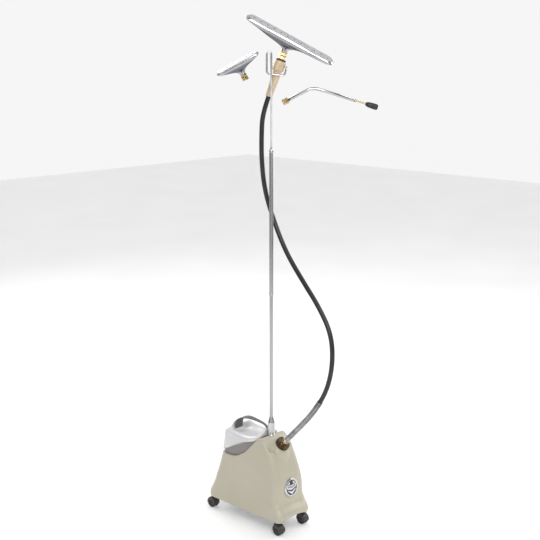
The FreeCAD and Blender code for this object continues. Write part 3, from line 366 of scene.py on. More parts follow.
def with_painted_shade(material, attribute, colour):
    """Mixes in a painted shade colour where a piece's own attribute says so, from 0 to 1."""
    tree = material.node_tree
    shader = tree.nodes["Principled BSDF"]
    before = shader.inputs["Base Color"].links[0].from_socket
    reader = tree.nodes.new("ShaderNodeAttribute")
    reader.attribute_name = attribute
    mix = tree.nodes.new("ShaderNodeMix")
    mix.data_type = "RGBA"
    tree.links.new(reader.outputs["Fac"], mix.inputs["Factor"])
    tree.links.new(before, mix.inputs["A"])
    mix.inputs["B"].default_value = (*colour, 1)
    tree.links.new(mix.outputs["Result"], shader.inputs["Base Color"])
    return material


# %% [markdown]
# ## The hose
# A rubber steam hose of 16 mm hangs in a fixed length from the casing to the handle. Its line
# is a NURBS spline with the same control points as its working model, which gives one smooth
# curve. The spline's own points then carry a round section.

# %% Where the hose goes
COLLAR_LOW, COLLAR_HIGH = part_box("fitting_collar")
OUTLET = np.array((COLLAR_LOW + COLLAR_HIGH) / 2)
OUTLET_TILT = math.radians(44)
OUTLET_AXES = np.array([[1, 0, 0], [0, math.cos(OUTLET_TILT), math.sin(OUTLET_TILT)],
                        [0, -math.sin(OUTLET_TILT), math.cos(OUTLET_TILT)]])
COLLAR_HALF, NUT_LONG, CAP_LONG, CAP_FLOOR = 6 * MM, 19 * MM, 6 * MM, 2 * MM
HANDLE_LONG, RING_THICK, HEAD_NUT_LONG, NUT_GAP = 122 * MM, 5 * MM, 26 * MM, 0.4 * MM
HANDLE_AXES = axes_from(JOINTS["head_turn"]["axis"])
HANDLE_FOOT = (np.array(JOINTS["large_nut_spin"]["pos_m"])
               - HANDLE_AXES[2] * (HANDLE_LONG + RING_THICK))
HOSE_RADIUS, HOSE_LEAD, HOSE_TAIL, HOSE_GAP = 8 * MM, 92 * MM, 60 * MM, 0.4 * MM


def on_outlet(along):
    """A point on the outlet's axis, from the middle of its collar."""
    return OUTLET + OUTLET_AXES[2] * along


HOSE_START = COLLAR_HALF + NUT_LONG + CAP_FLOOR
HOSE_ROUTE = [
    on_outlet(HOSE_START), on_outlet(HOSE_START + HOSE_LEAD),
    (0, -0.268, 0.463), (0.002, -0.321, 0.548), (0.004, -0.343, 0.645), (0.008, -0.331, 0.743),
    (0.012, -0.272, 0.824), (0.018, -0.189, 0.904), (0.025, -0.111, 0.985),
    (0.030, -0.050, 1.085), (0.011, -0.027, 1.185), (-0.001, -0.024, 1.285),
    (-0.003, -0.026, 1.380),
    HANDLE_FOOT - HANDLE_AXES[2] * HOSE_TAIL, HANDLE_FOOT - HANDLE_AXES[2] * HOSE_GAP,
]

# %% Hose and its line
HOSE_PATH = spline_points("hose_line", HOSE_ROUTE)
HOSE_STEPS = np.linalg.norm(np.diff(HOSE_PATH, axis=0), axis=1)

hose_rubber = finish("hose_rubber", (0.006, 0.006, 0.007), (0.016, 0.016, 0.017), 0.34,
                     spread=0.08, cloud=30, grain=700, bump=0.15)
hose = grids_object("steam_hose_run", [drawn_grid(HOSE_PATH, HOSE_RADIUS, steps=28)])
hose.data.materials.append(hose_rubber)

# %% [markdown]
# ## The spring on the hose
# Where the hose leaves the casing a close-wound wire spring keeps it from kinking. It is a
# helix round the hose's line, so it is worked out from that line's own untwisted frame: go
# along the line, and turn once for every pitch. The turns open a little at the free end.

# %% Bend guard spring
SPRING_LONG, SPRING_WIRE, SPRING_PITCH = 228 * MM, 1.05 * MM, 2.25 * MM
chrome_wire = finish("spring_chrome", (0.28, 0.28, 0.29), (0.42, 0.42, 0.43), 0.34,
                     metal=1.0, cloud=60, grain=1500, bump=0.05)


def make_spring():
    """A helix: line(s) + radius (across cos a + other sin a), with a = 2 pi s / pitch."""
    reach = np.concatenate([[0], np.cumsum(HOSE_STEPS)])
    start = CAP_LONG - CAP_FLOOR
    steps = int(SPRING_LONG / SPRING_PITCH * 16)
    share = np.linspace(0, 1, steps)
    run = start + SPRING_LONG * share
    angle = 2 * np.pi * SPRING_LONG / SPRING_PITCH * (share - 0.12 * share**3)
    line = np.stack([np.interp(run, reach, HOSE_PATH[:, i]) for i in range(3)], axis=1)
    fine = HOSE_PATH[: np.searchsorted(reach, start + SPRING_LONG) + 2]
    across, other = carried_frames(fine)
    span = reach[: len(fine)]
    across = np.stack([np.interp(run, span, across[:, i]) for i in range(3)], axis=1)
    other = np.stack([np.interp(run, span, other[:, i]) for i in range(3)], axis=1)
    radius = HOSE_RADIUS + SPRING_WIRE + 0.15 * MM
    coil = line + radius * (across * np.cos(angle)[:, None] + other * np.sin(angle)[:, None])
    spring = grids_object("bend_guard_spring", [drawn_grid(coil, SPRING_WIRE, steps=8)])
    return finish_piece(spring, "root", chrome_wire, "chrome", "hose_spring")


spring = make_spring()
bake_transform(hose)
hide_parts("steam_hose")

# %% [markdown]
# ## The casing
# The casing is one moulding that flares to the floor and narrows to a crown. At any height its
# section is a rectangle with round corners. So the surface is a grid: round the section one way,
# and up the side, over the edge and in to the middle line the other way. Each corner column is
# its corner's centre plus the corner radius times a fixed direction, which keeps the columns
# straight while the section changes.

# %% The casing's outline
LEVEL = np.array([48, 62, 97, 181, 240, 325, 345]) * MM
FRONT = np.array([-185, -187, -169, -160, -141.5, -104, -96]) * MM
REAR = np.array([180, 181, 165, 136, 121, 110, 108]) * MM
HALF = np.array([80, 80, 77.5, 74, 71, 62, 60]) * MM
ROUND = np.array([28, 28, 27, 30, 32, 28, 26]) * MM
CORNER_STEPS, SIDE_STEPS, END_STEPS = 14, 90, 34
CROWN_DOME = 6.5 * MM


def around_pattern():
    """Four corners, each followed by a flat: (1 - share) this corner + share the next one."""
    corners = np.array([(1, -1), (1, 1), (-1, 1), (-1, -1)], float)
    signs, directions = [], []
    for place, steps in enumerate((SIDE_STEPS, END_STEPS, SIDE_STEPS, END_STEPS)):
        here, there = corners[place], corners[(place + 1) % 4]
        angles = np.radians(90 * (place - 1) + np.linspace(0, 90, CORNER_STEPS))
        signs.append(np.tile(here, (CORNER_STEPS, 1)))
        directions.append(np.stack([np.cos(angles), np.sin(angles)], axis=1))
        share = np.linspace(0, 1, steps + 2)[1:-1, None]
        signs.append((1 - share) * here + share * there)
        directions.append(np.repeat(directions[-1][-1:], steps, axis=0))
    return np.concatenate(signs), np.concatenate(directions)


SIGNS, OUTWARD = around_pattern()


def level_at(height, values):
    """An outline value at a height, smooth between the named levels."""
    return smooth_through(height, LEVEL, values)


def section_points(height, inset):
    """Each column's x and y at its own height, with the whole section drawn in by inset."""
    front, rear = level_at(height, FRONT), level_at(height, REAR)
    half, corner = level_at(height, HALF), level_at(height, ROUND)
    middle, reach = (front + rear) / 2, (rear - front) / 2 - corner
    x = SIGNS[:, 0] * (half - corner) + OUTWARD[:, 0] * (corner - inset)
    y = middle + SIGNS[:, 1] * reach + OUTWARD[:, 1] * (corner - inset)
    return x, y


# %% The edge that the bottle sits against
SEAT_Y = np.array([-112, -100, -88, -78, -68, -58, -49, -38, -22, -8, 14, 35, 60, 85, 125]) * MM
SEAT_Z = np.array([288, 301, 312, 320, 325, 321, 311, 299, 281, 266, 251, 239, 232, 230.5,
                   231]) * MM


def seat_height(y):
    """The height of the casing's upper edge: the crown in front, a dished seat behind."""
    return smooth_through(np.clip(y, SEAT_Y[0], SEAT_Y[-1]), SEAT_Y, SEAT_Z)


def edge_round(y):
    """A wide soft edge round the crown, and a crisp one along the seat."""
    return (2.2 + 12 * step_between(-y, 52 * MM, 84 * MM)) * MM


def column_tops():
    """Each column's top, found by going up until the seat's height is met."""
    height = np.full(len(SIGNS), 0.28)
    for _ in range(30):
        _, y = section_points(height, 0)
        height = 0.5 * height + 0.5 * seat_height(y)
    return height


TOPS = column_tops()


# %% Bulges moulded into the casing
BOSS_REACH = np.array([0, 22, 25, 28, 35, 47, 62]) * MM
BOSS_HEIGHT = np.array([-6.5, -6.5, -7.6, -11, -19, -36, -70]) * MM
BOSS_SHIFT, BOSS_FILLET = 7 * MM, 2.2 * MM
PAD_PROUD, ARCH_RISE, ARCH_HALF = 1.4 * MM, 11 * MM, 64 * MM


def with_outlet_boss(points):
    """Raises the crown to a boss round the outlet, by soft ln(1 + e^(height / soft))."""
    local = (points - OUTLET) @ OUTLET_AXES.T
    around = np.hypot(local[..., 0], local[..., 1] + BOSS_SHIFT)
    boss = smooth_through(around, BOSS_REACH, BOSS_HEIGHT)
    soft = BOSS_FILLET
    lift = soft * np.log1p(np.exp(np.clip((boss - local[..., 2]) / soft, -40, 40)))
    near = 1 - step_between(around, 50 * MM, 64 * MM)
    ahead = step_between(local[..., 2], -75 * MM, -45 * MM)
    local[..., 2] += lift * near * ahead
    return OUTLET + local @ OUTLET_AXES


def with_corner_pads(points):
    """A pad wraps each front corner of the skirt, and ends in a crisp ledge: x + push."""
    x, y, z = points[..., 0], points[..., 1], points[..., 2]
    low = 1 - step_between(z, 104 * MM, 107 * MM)
    side = step_between(-y, 118 * MM, 121 * MM) * step_between(np.abs(x), 40 * MM, 43 * MM)
    outside = step_between(z, 52 * MM, 56 * MM)
    push = PAD_PROUD * low * side * outside
    points = points.copy()
    points[..., 0] += push * np.sign(x)
    points[..., 1] -= push * 0.6
    return points


def with_arched_foot(points):
    """Lifts the lower edge between the casters by rise (1 - (x / half)^2), less higher up."""
    x, z = points[..., 0], points[..., 2]
    arch = ARCH_RISE * np.clip(1 - (x / ARCH_HALF) ** 2, 0, 1)
    points = points.copy()
    points[..., 2] += arch * (1 - step_between(z, 48 * MM, 110 * MM))
    return points


# %% Casing shell
casing_plastic = finish("casing_plastic", (0.430, 0.398, 0.312), (0.465, 0.428, 0.338), 0.36,
                        spread=0.04, cloud=5, grain=1400, bump=0.05, Coat_Weight=0.25,
                        Coat_Roughness=0.22, IOR=1.5)


def make_casing():
    """Rows: inside the foot, under its edge, up the side, over the edge, in to the middle."""
    rim = LEVEL[0]
    rows = []
    foot_edge = ((3.2, 9), (3.2, 0.6), (2.6, 0), (0.7, 0), (0, 0.8))
    for inset, lift in foot_edge:
        height = np.full(len(SIGNS), rim + lift * MM)
        rows.append((*section_points(height, inset * MM), height))
    _, y_top = section_points(TOPS, 0)
    soft, foot = edge_round(y_top), rim + foot_edge[-1][1] * MM
    for share in np.linspace(0, 1, 110)[1:]:
        height = foot + share * (TOPS - soft - foot)
        rows.append((*section_points(height, 0), height))
    for angle in np.radians(np.linspace(0, 90, 9)[1:]):
        inset = soft * (1 - math.cos(angle))
        height = TOPS - soft * (1 - math.sin(angle))
        rows.append((*section_points(TOPS - soft, inset), height))
    x_edge, y_edge, _ = rows[-1]
    dome = CROWN_DOME * step_between(-y_edge, 60 * MM, 86 * MM)
    for share in np.linspace(0, 1, 46)[1:]:
        rows.append((x_edge * (1 - share), y_edge, TOPS + dome * (1 - (1 - share) ** 2)))
    grid = np.stack([np.stack(row, axis=-1) for row in rows])
    grid = with_arched_foot(with_corner_pads(with_outlet_boss(grid)))
    casing = grids_object("casing_shell", [grid], closed=False)
    finish_piece(casing, "root", casing_plastic, "casing_plastic", "casing")


make_casing()

# %% [markdown]
# ## The water bottle
# The bottle carries on the casing's outline above the seat. Its lower flank is scooped in, and
# its top dips in the middle for the hand. The same columns serve: they start on the seat's
# edge, pass the scoop, go over a soft shoulder, and meet on the middle line, whose heights give
# the tall front by the pole, the dip, and the hump behind.

# %% Bottle outline
SCOOP_Y = np.array([-62, -39, 16, 36, 65, 90, 125]) * MM
SCOOP_Z = np.array([323, 310, 292, 282, 267, 252, 238]) * MM
BOTTLE_FRONT, BOTTLE_GAP, WALL_STEP, SCOOP_DEEP = -54 * MM, 0.8 * MM, 1 * MM, 9 * MM
SHOULDER_SOFT, SHOULDER_IN = 12 * MM, 16 * MM
SHOULDER_Y = np.array([-54, -20, 20, 50, 80, 100, 120]) * MM
SHOULDER_Z = np.array([330, 321, 316, 317, 321, 326, 318]) * MM
SPINE_Y = np.array([-54, -30, 0, 50, 88, 97, 103, 109, 114, 120]) * MM
SPINE_Z = np.array([348, 323, 311, 308, 309, 317, 332, 340, 338, 328]) * MM
RISE_Z = np.array([231, 260, 300, 330, 345]) * MM
RISE_REAR = np.array([122.5, 119.5, 116.5, 114, 111]) * MM


def bottle_columns(height, inset):
    """The casing's section with y squeezed: front + share of the casing's length (rear - front)."""
    x, y = section_points(height, inset)
    front, rear = BOTTLE_FRONT + inset, smooth_through(height, RISE_Z, RISE_REAR)
    low, high = level_at(height, FRONT), level_at(height, REAR)
    return x, front + np.clip((y - low) / (high - low), 0, 1) * (rear - front)


bottle_plastic = finish("bottle_plastic", (0.60, 0.60, 0.61), (0.66, 0.66, 0.67), 0.30,
                        spread=0.05, cloud=9, grain=900, bump=0.04, Subsurface_Weight=0.25,
                        Subsurface_Scale=0.012, Coat_Weight=0.3, Coat_Roughness=0.15)
# Painted shade with a painted reflection of the beige casing, on the scooped lower flank and the underside.
with_painted_shade(bottle_plastic, "scoop", (0.225, 0.205, 0.195))


def make_bottle():
    """Rows: in from the middle under the seat, up the scooped flank, over, and in again."""
    count = len(SIGNS)
    base = np.full(count, 0.25)
    for _ in range(30):
        _, y = bottle_columns(base, 0)
        base = 0.5 * base + 0.5 * (seat_height(y) + BOTTLE_GAP)
    _, y_base = bottle_columns(base, 0)
    scoop_edge = np.maximum(smooth_through(y_base, SCOOP_Y, SCOOP_Z), base + 4 * MM)
    shoulder = smooth_through(y_base, SHOULDER_Y, SHOULDER_Z)
    shoulder = np.maximum(shoulder, scoop_edge + 6 * MM)
    # Painted shade a point: full on the underside, fading out up the scooped flank, none above.
    rows, scoop_shades = [], []
    for share in np.linspace(0, 1, 12)[:-1]:
        x, y = bottle_columns(base, 10 * MM)
        rows.append((x * share, y, base + 0 * x))
        scoop_shades.append(np.ones(count))
    side = np.concatenate([np.linspace(0, 0.80, 14), np.linspace(0.80, 1.12, 12)[1:],
                           np.linspace(1.12, 2, 30)[1:]])
    for share in side:
        low = np.clip(share, 0, 1)
        high = np.clip(share - 1, 0, 1)
        height = base + low * (scoop_edge - base) + high * (shoulder - SHOULDER_SOFT - scoop_edge)
        deep = 1 - step_between(share, 0.80, 1.12)
        depth = WALL_STEP + SCOOP_DEEP * deep * np.clip((scoop_edge - base) / (14 * MM), 0, 1)
        x, y = bottle_columns(height, 0)
        shrink = 1 - depth / level_at(height, HALF)
        y = y - depth * np.clip(OUTWARD[:, 1], 0, 1)
        rows.append((x * shrink, y, height))
        scoop_shades.append(np.full(count, deep) * np.clip((scoop_edge - base) / (10 * MM), 0, 1))
    x_side, y_side, z_side = rows[-1]
    for angle in np.radians(np.linspace(0, 78, 12)[1:]):
        pull = 1 - SHOULDER_IN * (1 - math.cos(angle)) / level_at(z_side, HALF)
        lean = SHOULDER_SOFT * (1 - math.cos(angle)) * np.clip(OUTWARD[:, 1], 0, 1)
        rows.append((x_side * pull, y_side - lean, z_side + SHOULDER_SOFT * math.sin(angle)))
        scoop_shades.append(np.zeros(count))
    x_edge, y_edge, z_edge = rows[-1]
    y_edge = np.clip(y_edge, None, SPINE_Y[-1])
    spine = smooth_through(y_edge, SPINE_Y, SPINE_Z)
    wall = np.clip((spine - z_edge) / (30 * MM), 0, 1)
    for share in np.linspace(0, 1, 40)[1:]:
        rise = (1 - wall) * step_between(share, 0, 0.75) + wall * step_between(share, 0.1, 0.62)
        rows.append((x_edge * (1 - share), y_edge, z_edge + rise * (spine - z_edge)))
        scoop_shades.append(np.zeros(count))
    grid = np.stack([np.stack(row, axis=-1) for row in rows])
    bottle = grids_object("bottle_shell", [grid], scoop=np.stack(scoop_shades))
    finish_piece(bottle, "bottle", bottle_plastic, "bottle_plastic", "water_bottle")


make_bottle()

# %% [markdown]
# ## The strap over the bottle
# A dark moulded strap arches from the back of the bottle to its front. It is wide at the back,
# where the hand pulls, and narrow at the front. A rounded flat section carried along one smooth
# arch makes it, with its width and thickness given along the way.

# %% Strap handle
strap_plastic = finish("strap_plastic", (0.075, 0.078, 0.075), (0.115, 0.118, 0.113), 0.42,
                       spread=0.07, cloud=14, grain=1100, bump=0.3)


def make_strap():
    """Section (w/2 cos^e a, t/2 sin^e a), a rounded oblong, carried along an arch in YZ."""
    arch_y = np.array([94, 95, 93, 83, 65, 42, 14, -16, -38, -49, -50]) * MM
    arch_z = np.array([304, 318, 333, 347, 357, 362, 362.5, 360, 355, 345, 330]) * MM
    station = np.linspace(0, 1, len(arch_y))
    t = np.linspace(0, 1, 120)
    y, z = smooth_through(t, station, arch_y), smooth_through(t, station, arch_z)
    path = np.stack([0 * y, y, z], axis=1)
    tangent = np.gradient(path, axis=0)
    tangent /= np.linalg.norm(tangent, axis=1)[:, None]
    across = np.array([1.0, 0, 0])
    normal = np.cross(tangent, across)
    wide = smooth_through(t, [0, 0.3, 0.45, 0.6, 0.75, 1],
                          np.array([38, 38, 33, 20, 12, 11]) * MM)
    thick = smooth_through(t, [0, 0.25, 0.5, 1], np.array([7, 6.5, 4.5, 3.6]) * MM)
    a = np.linspace(0, 2 * np.pi, 40, endpoint=False)
    flat = np.sign(np.cos(a)) * np.abs(np.cos(a)) ** 0.45
    tall = np.sign(np.sin(a)) * np.abs(np.sin(a)) ** 0.6
    ring = (across * (wide[:, None, None] / 2 * flat[None, :, None])
            + normal[:, None] * (thick[:, None, None] / 2 * tall[None, :, None]))
    grid = path[:, None] + ring
    ends = [np.repeat(path[i][None, None], len(a), axis=1) for i in (0, -1)]
    grid = np.concatenate([ends[0], grid, ends[1]])
    strap = grids_object("bottle_strap", [grid])
    finish_piece(strap, "bottle", strap_plastic, "grip_plastic", "bottle_handle")


make_strap()

# %% [markdown]
# ## Turned metal at the outlet
# A ribbed dark collar, a bright brass nut and a plated end ring hold the hose to the casing. A
# hexagon nut with turned ends is one formula: at each angle the surface is the nearer of the
# hexagon's flat and a cone, so the chamfer's curved edges come out by themselves.

# %% Metals
brass = finish("brass", (0.44, 0.31, 0.15), (0.62, 0.47, 0.27), 0.24, metal=1.0, cloud=70,
               grain=1300, bump=0.06)
chrome = finish("chrome", (0.50, 0.50, 0.51), (0.62, 0.62, 0.63), 0.13, spread=0.04, metal=1.0,
                cloud=40, grain=1500, bump=0.03)
bronze = finish("dark_bronze", (0.036, 0.026, 0.011), (0.085, 0.062, 0.026), 0.38, metal=0.6,
                cloud=90, grain=1200, bump=0.2)
steel = finish("plain_steel", (0.42, 0.42, 0.43), (0.58, 0.58, 0.58), 0.38, metal=1.0,
               cloud=40, grain=1000, bump=0.08)


def hexagon_grid(across, low, high, bore, origin, axes, grooves):
    """Radius = min(flat / cos(angle within its sixth), cone near each end)."""
    steps, depth = 96, 1.2 * MM
    angle = np.linspace(0, 2 * np.pi, steps, endpoint=False)
    flat = across / 2 / np.cos((angle + np.pi / 6) % (np.pi / 3) - np.pi / 6)
    flat = np.minimum(flat, across / 2 / math.cos(math.pi / 6) * 0.985)
    heights = np.concatenate([low + depth * np.linspace(0, 1, 4),
                              np.linspace(low, high, 18)[2:-2],
                              high - depth * np.linspace(1, 0, 4)])
    from_end = np.minimum(heights - low, high - heights)
    cone = across / 2 * 0.94 + np.clip(from_end, 0, depth) * 1.75
    radius = np.minimum(flat[None], np.where(from_end < depth * 1.01, cone, 1.0)[:, None])
    for place in grooves:
        radius = radius - 0.9 * MM * np.exp(-(((heights - place) / (1.1 * MM)) ** 2))[:, None]
    rows = np.stack([radius * np.cos(angle), radius * np.sin(angle),
                     np.repeat(heights[:, None], steps, axis=1)], axis=-1)
    inside = turned_grid(np.array([[bore, low], [bore, high]]), steps)
    loop = np.concatenate([inside[:1], rows, inside[1:][::-1], inside[:1]])
    return placed(loop, origin, axes)


def make_outlet_fitting():
    """Collar, nut and ring turned about the outlet; the ribs are a clipped cosine wave."""
    teeth = 30
    outline = eased([(9.2, -6.4), (25.0, -6.4), (25.0, 6), (14.5, 6), (13.6, 5.2), (9.2, 5.2),
                     (9.2, -6.4)], 1.4) * MM
    worn = np.clip((outline[:, 0] - 22.5 * MM) / (1.5 * MM), 0, 1)

    def ribs(angle, row):
        wave = np.clip(np.cos(teeth * angle) * 1.6, -1, 1)
        return 1 - 0.045 * worn[row] * (0.5 - 0.5 * wave)

    collar = grids_object("fitting_collar_ribbed",
                          [turned_grid(outline, 360, OUTLET, OUTLET_AXES, ribs)])
    finish_piece(sharpen(collar, 40), "root", bronze, "dark_collar", "fitting_collar")
    nut = hexagon_grid(23 * MM, 6 * MM, 25 * MM, 5.4 * MM, OUTLET, OUTLET_AXES,
                       grooves=(21.5 * MM,))
    washer = turned_grid(eased([(5.4, 5.9), (13, 5.9), (13, 7.4), (5.4, 7.4), (5.4, 5.9)], 0.5)
                         * MM, 96, OUTLET, OUTLET_AXES)
    nut = grids_object("hose_nut_hexagon", [nut, washer])
    finish_piece(sharpen(nut, 25), "root", brass, "brass", "hose_nut")
    ring = eased([(5.4, 25), (10.6, 25), (11.2, 27), (11.2, 30.2), (10.4, 31.2), (8.15, 31.2),
                  (8.15, 27), (5.4, 27), (5.4, 25)], 0.5) * MM
    ring = grids_object("hose_end_ring", [turned_grid(ring, 96, OUTLET, OUTLET_AXES)])
    finish_piece(ring, "root", chrome, "chrome")


make_outlet_fitting()

# %% [markdown]
# ## The pole and its socket
# A fluted chrome socket holds a two-part tube: the thinner lower tube slides up into the upper
# one, which ends in a rolled bead. All are turned pieces. The socket's flutes are a ripple on
# its radius that fades out where the cone begins.

# %% Pole
pole_metal = finish("pole_tube", (0.36, 0.36, 0.37), (0.48, 0.48, 0.49), 0.24, metal=1.0,
                    cloud=30, grain=1300, bump=0.04, stretch=(1, 1, 14))


def make_pole():
    """Turned pieces; the socket's radius is less 10 % sin^4 of four times the angle."""
    socket_low, socket_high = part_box("pole_socket")
    base, top = socket_low.z, socket_high.z
    cone = top - 20 * MM
    outline = eased([(0.0064, base - 0.006), (0.0145, base - 0.006), (0.0145, base + 0.002),
                     (0.0131, base + 0.004), (0.0124, cone), (0.0112, cone + 0.004),
                     (0.0076, top - 0.001), (0.0064, top)], 0.0012)
    heights = np.linspace(base + 0.004, cone, 16)
    body = np.stack([np.interp(heights, [base, cone], [0.0131, 0.0124]), heights], axis=1)
    split = np.searchsorted(outline[:, 1], base + 0.004)
    ladder = np.concatenate([outline[:split], body, outline[split:][outline[split:, 1] > cone]])
    fluted = (step_between(ladder[:, 1], base + 0.003, base + 0.007)
              * (1 - step_between(ladder[:, 1], cone - 0.004, cone + 0.001)))

    def flutes(angle, row):
        return 1 - 0.10 * fluted[row] * np.clip(0.5 - 0.5 * np.cos(8 * angle), 0, 1) ** 2

    socket = grids_object("pole_socket_fluted",
                          [closed_tube(turned_grid(ladder, 192, POLE, np.eye(3), flutes))])
    finish_piece(socket, "root", chrome, "chrome", "pole_socket")

    low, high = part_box("lower_pole")
    lower = (high.x - low.x) / 2
    outline = eased([(lower - 0.001, low.z), (lower, low.z), (lower, high.z),
                     (lower - 0.001, high.z), (lower - 0.001, low.z)], 0.0003)
    piece = grids_object("pole_lower_tube", [turned_grid(outline, 48, POLE)])
    finish_piece(piece, "root", pole_metal, "pole_tube", "lower_pole")
    low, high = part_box("upper_pole")
    upper = (high.x - low.x) / 2
    inner = lower + 0.00005
    outline = eased([(inner, low.z), (upper + 0.0009, low.z), (upper + 0.0009, low.z + 0.004),
                     (upper, low.z + 0.0055), (upper, high.z), (inner, high.z), (inner, low.z)],
                    0.0006)
    piece = grids_object("pole_upper_tube", [turned_grid(outline, 48, POLE)])
    finish_piece(piece, "root", pole_metal, "pole_tube", "upper_pole")


make_pole()

# %% [markdown]
# ## The hanger hook
# One chrome wire makes the tall loop on top of the pole, goes down beside it, and forms a
# cradle: out in front of the handle's neck, up to a keeper, and back behind. The wire's path is
# straight legs joined by arcs, because wire is bent over pins.

# %% Hook wire
HOOK_LOW, HOOK_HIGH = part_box("hanger_hook")
WIRE, LOOP, GRIP_SIDE = 3.3 * MM, 15 * MM, 19.3 * MM
CRADLE, CRADLE_RISE, CRADLE_DROP, CRADLE_END = 1.570, 24 * MM, 6 * MM, 43 * MM
HANDLE_DEPTH, KEEPER_OUT, PIN = 24 * MM, 7 * MM, 7 * MM


def make_hook():
    """Straight legs between named corners, each corner bent round a pin, drawn as one wire."""
    near, far = HANDLE_DEPTH - GRIP_SIDE, HANDLE_DEPTH + GRIP_SIDE
    top, foot = HOOK_HIGH.z - WIRE, HOOK_LOW.z
    legs = [
        (0, 0, foot), (0, 0, top), (-LOOP, 0, top), (-LOOP, 0, CRADLE + CRADLE_DROP),
        (-LOOP / 2, near, CRADLE + CRADLE_DROP / 2),
        (CRADLE_END, near, CRADLE - CRADLE_DROP / 2),
        (CRADLE_END + KEEPER_OUT, near, CRADLE + CRADLE_RISE),
        (CRADLE_END + KEEPER_OUT, far, CRADLE + CRADLE_RISE),
        (CRADLE_END, far, CRADLE - CRADLE_DROP / 2),
        (-LOOP / 2, far, CRADLE + CRADLE_DROP / 2),
    ]
    path = eased([bracket(*leg) for leg in legs], PIN, steps=12)
    wire = grids_object("hanger_hook_wire", [drawn_grid(path, WIRE, steps=20)])
    finish_piece(wire, "root", chrome, "chrome", "hanger_hook")
    low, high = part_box("hook_collar")
    outline = eased([(WIRE, low.z), (0.0061, low.z), (0.0061, high.z - 0.014),
                     (0.0079, high.z - 0.014), (0.0079, high.z - 0.009),
                     (WIRE + 0.0006, high.z), (WIRE, high.z), (WIRE, low.z)], 0.0006)
    collar = grids_object("hook_collar_turned", [turned_grid(outline, 48, POLE)])
    finish_piece(collar, "root", chrome, "chrome", "hook_collar")


make_hook()

# %% [markdown]
# ## The wooden handle
# The handle is turned from pale hardwood: a slim grip that swells to a neck, a step that rests
# on the hook's cradle, and a barrel above. Wood grain runs along the turning, so its noise is
# drawn out along the handle's axis and not along the world's.

# %% Handle
HANDLE_TURN = Matrix([list(axis) for axis in HANDLE_AXES]).transposed().to_euler()
wood = finish("handle_wood", (0.50, 0.375, 0.235), (0.62, 0.49, 0.335), 0.36, spread=0.07,
              cloud=120, grain=520, bump=0.12, stretch=(1, 1, 22), turn=tuple(HANDLE_TURN),
              Coat_Weight=0.35, Coat_Roughness=0.2)


def make_handle():
    """Outlines of radius and height, in mm, turned about the line from hose to head."""
    outline = eased([(6, 0), (10.6, 0), (11.8, 1.4), (12.1, 6), (12.6, 18), (13.6, 40),
                     (14.4, 60), (14.5, 76), (14.4, 84), (15.2, 86.5), (18.6, 90),
                     (19.5, 93), (19.6, 104), (19.4, 115), (18.6, 119.5), (16.6, 121.7),
                     (14, 122), (6, 122), (6, 0)], 2.5) * MM
    grip = grids_object("handle_turned_grip",
                        [turned_grid(outline, 72, HANDLE_FOOT, HANDLE_AXES)])
    finish_piece(grip, "handle", wood, "wood", "handle_grip")
    ring = eased([(6, 0), (17, 0), (17.2, 1.6), (16, 5), (6, 5), (6, 0)], 0.9) * MM
    ring[:, 1] += HANDLE_LONG
    ring = grids_object("handle_top_ring", [turned_grid(ring, 72, HANDLE_FOOT, HANDLE_AXES)])
    finish_piece(ring, "handle", bronze, "brass", "handle_ring")
    low = HANDLE_LONG + RING_THICK + NUT_GAP
    nut = hexagon_grid(22 * MM, low, low + HEAD_NUT_LONG, 6.05 * MM, HANDLE_FOOT, HANDLE_AXES,
                       grooves=[low + step * MM for step in (4.5, 8.5, 17, 20.5)])
    nut = grids_object("head_nut_hexagon", [nut])
    finish_piece(sharpen(nut, 25), "large_nut", brass, "brass", "head_nut")


make_handle()

# %% [markdown]
# ## Fan-shaped steam heads
# A steam head is a plated casting that widens from a round neck to a long flat face. Each
# section is an oblong with round ends, and its length, width, place and tilt all change
# smoothly from neck to face. The lip bulges, then rolls over onto the drilled face plate.
# Painted shade darkens the recessed middle between neck and lip, and the sunk floor under the
# face plate.

# %% Steam heads
BODY_ROWS, ROLL_ROWS, HEAD_COLUMNS = 45, 9, 128
LIP_SOFT, LIP_BULGE, FACE_BACK, FACE_DROP = 3.4 * MM, 0.9 * MM, 1 * MM, 2.2 * MM
LARGE_SLOPE, LARGE_NECK_SLOPE, LARGE_RAKE = 28.2, 19.2, 27
SMALL_SLOPE, SMALL_RAKE, SMALL_REACH = -28, 20, 44 * MM
head_metal = finish("head_casting", (0.42, 0.42, 0.44), (0.54, 0.54, 0.56), 0.17, spread=0.05,
                    metal=1.0, cloud=25, grain=1300, bump=0.04)
# Painted shade: darkens each head's recessed middle and the sunk floor under its face plate.
with_painted_shade(head_metal, "web", (0.15, 0.15, 0.17))
face_metal = finish("face_satin", (0.50, 0.50, 0.51), (0.62, 0.62, 0.63), 0.40, metal=1.0,
                    cloud=60, grain=1300, bump=0.12)


def tilted_axes(slope, rake):
    """The bracket's axes, turned down to its right by slope and leaned forward by rake."""
    slope, rake = math.radians(slope), math.radians(rake)
    along = np.array([math.cos(slope), 0, -math.sin(slope)])
    up = np.array([math.sin(slope) * math.cos(rake), -math.sin(rake),
                   math.cos(slope) * math.cos(rake)])
    return np.array([along, np.cross(up, along), up]) @ TURN


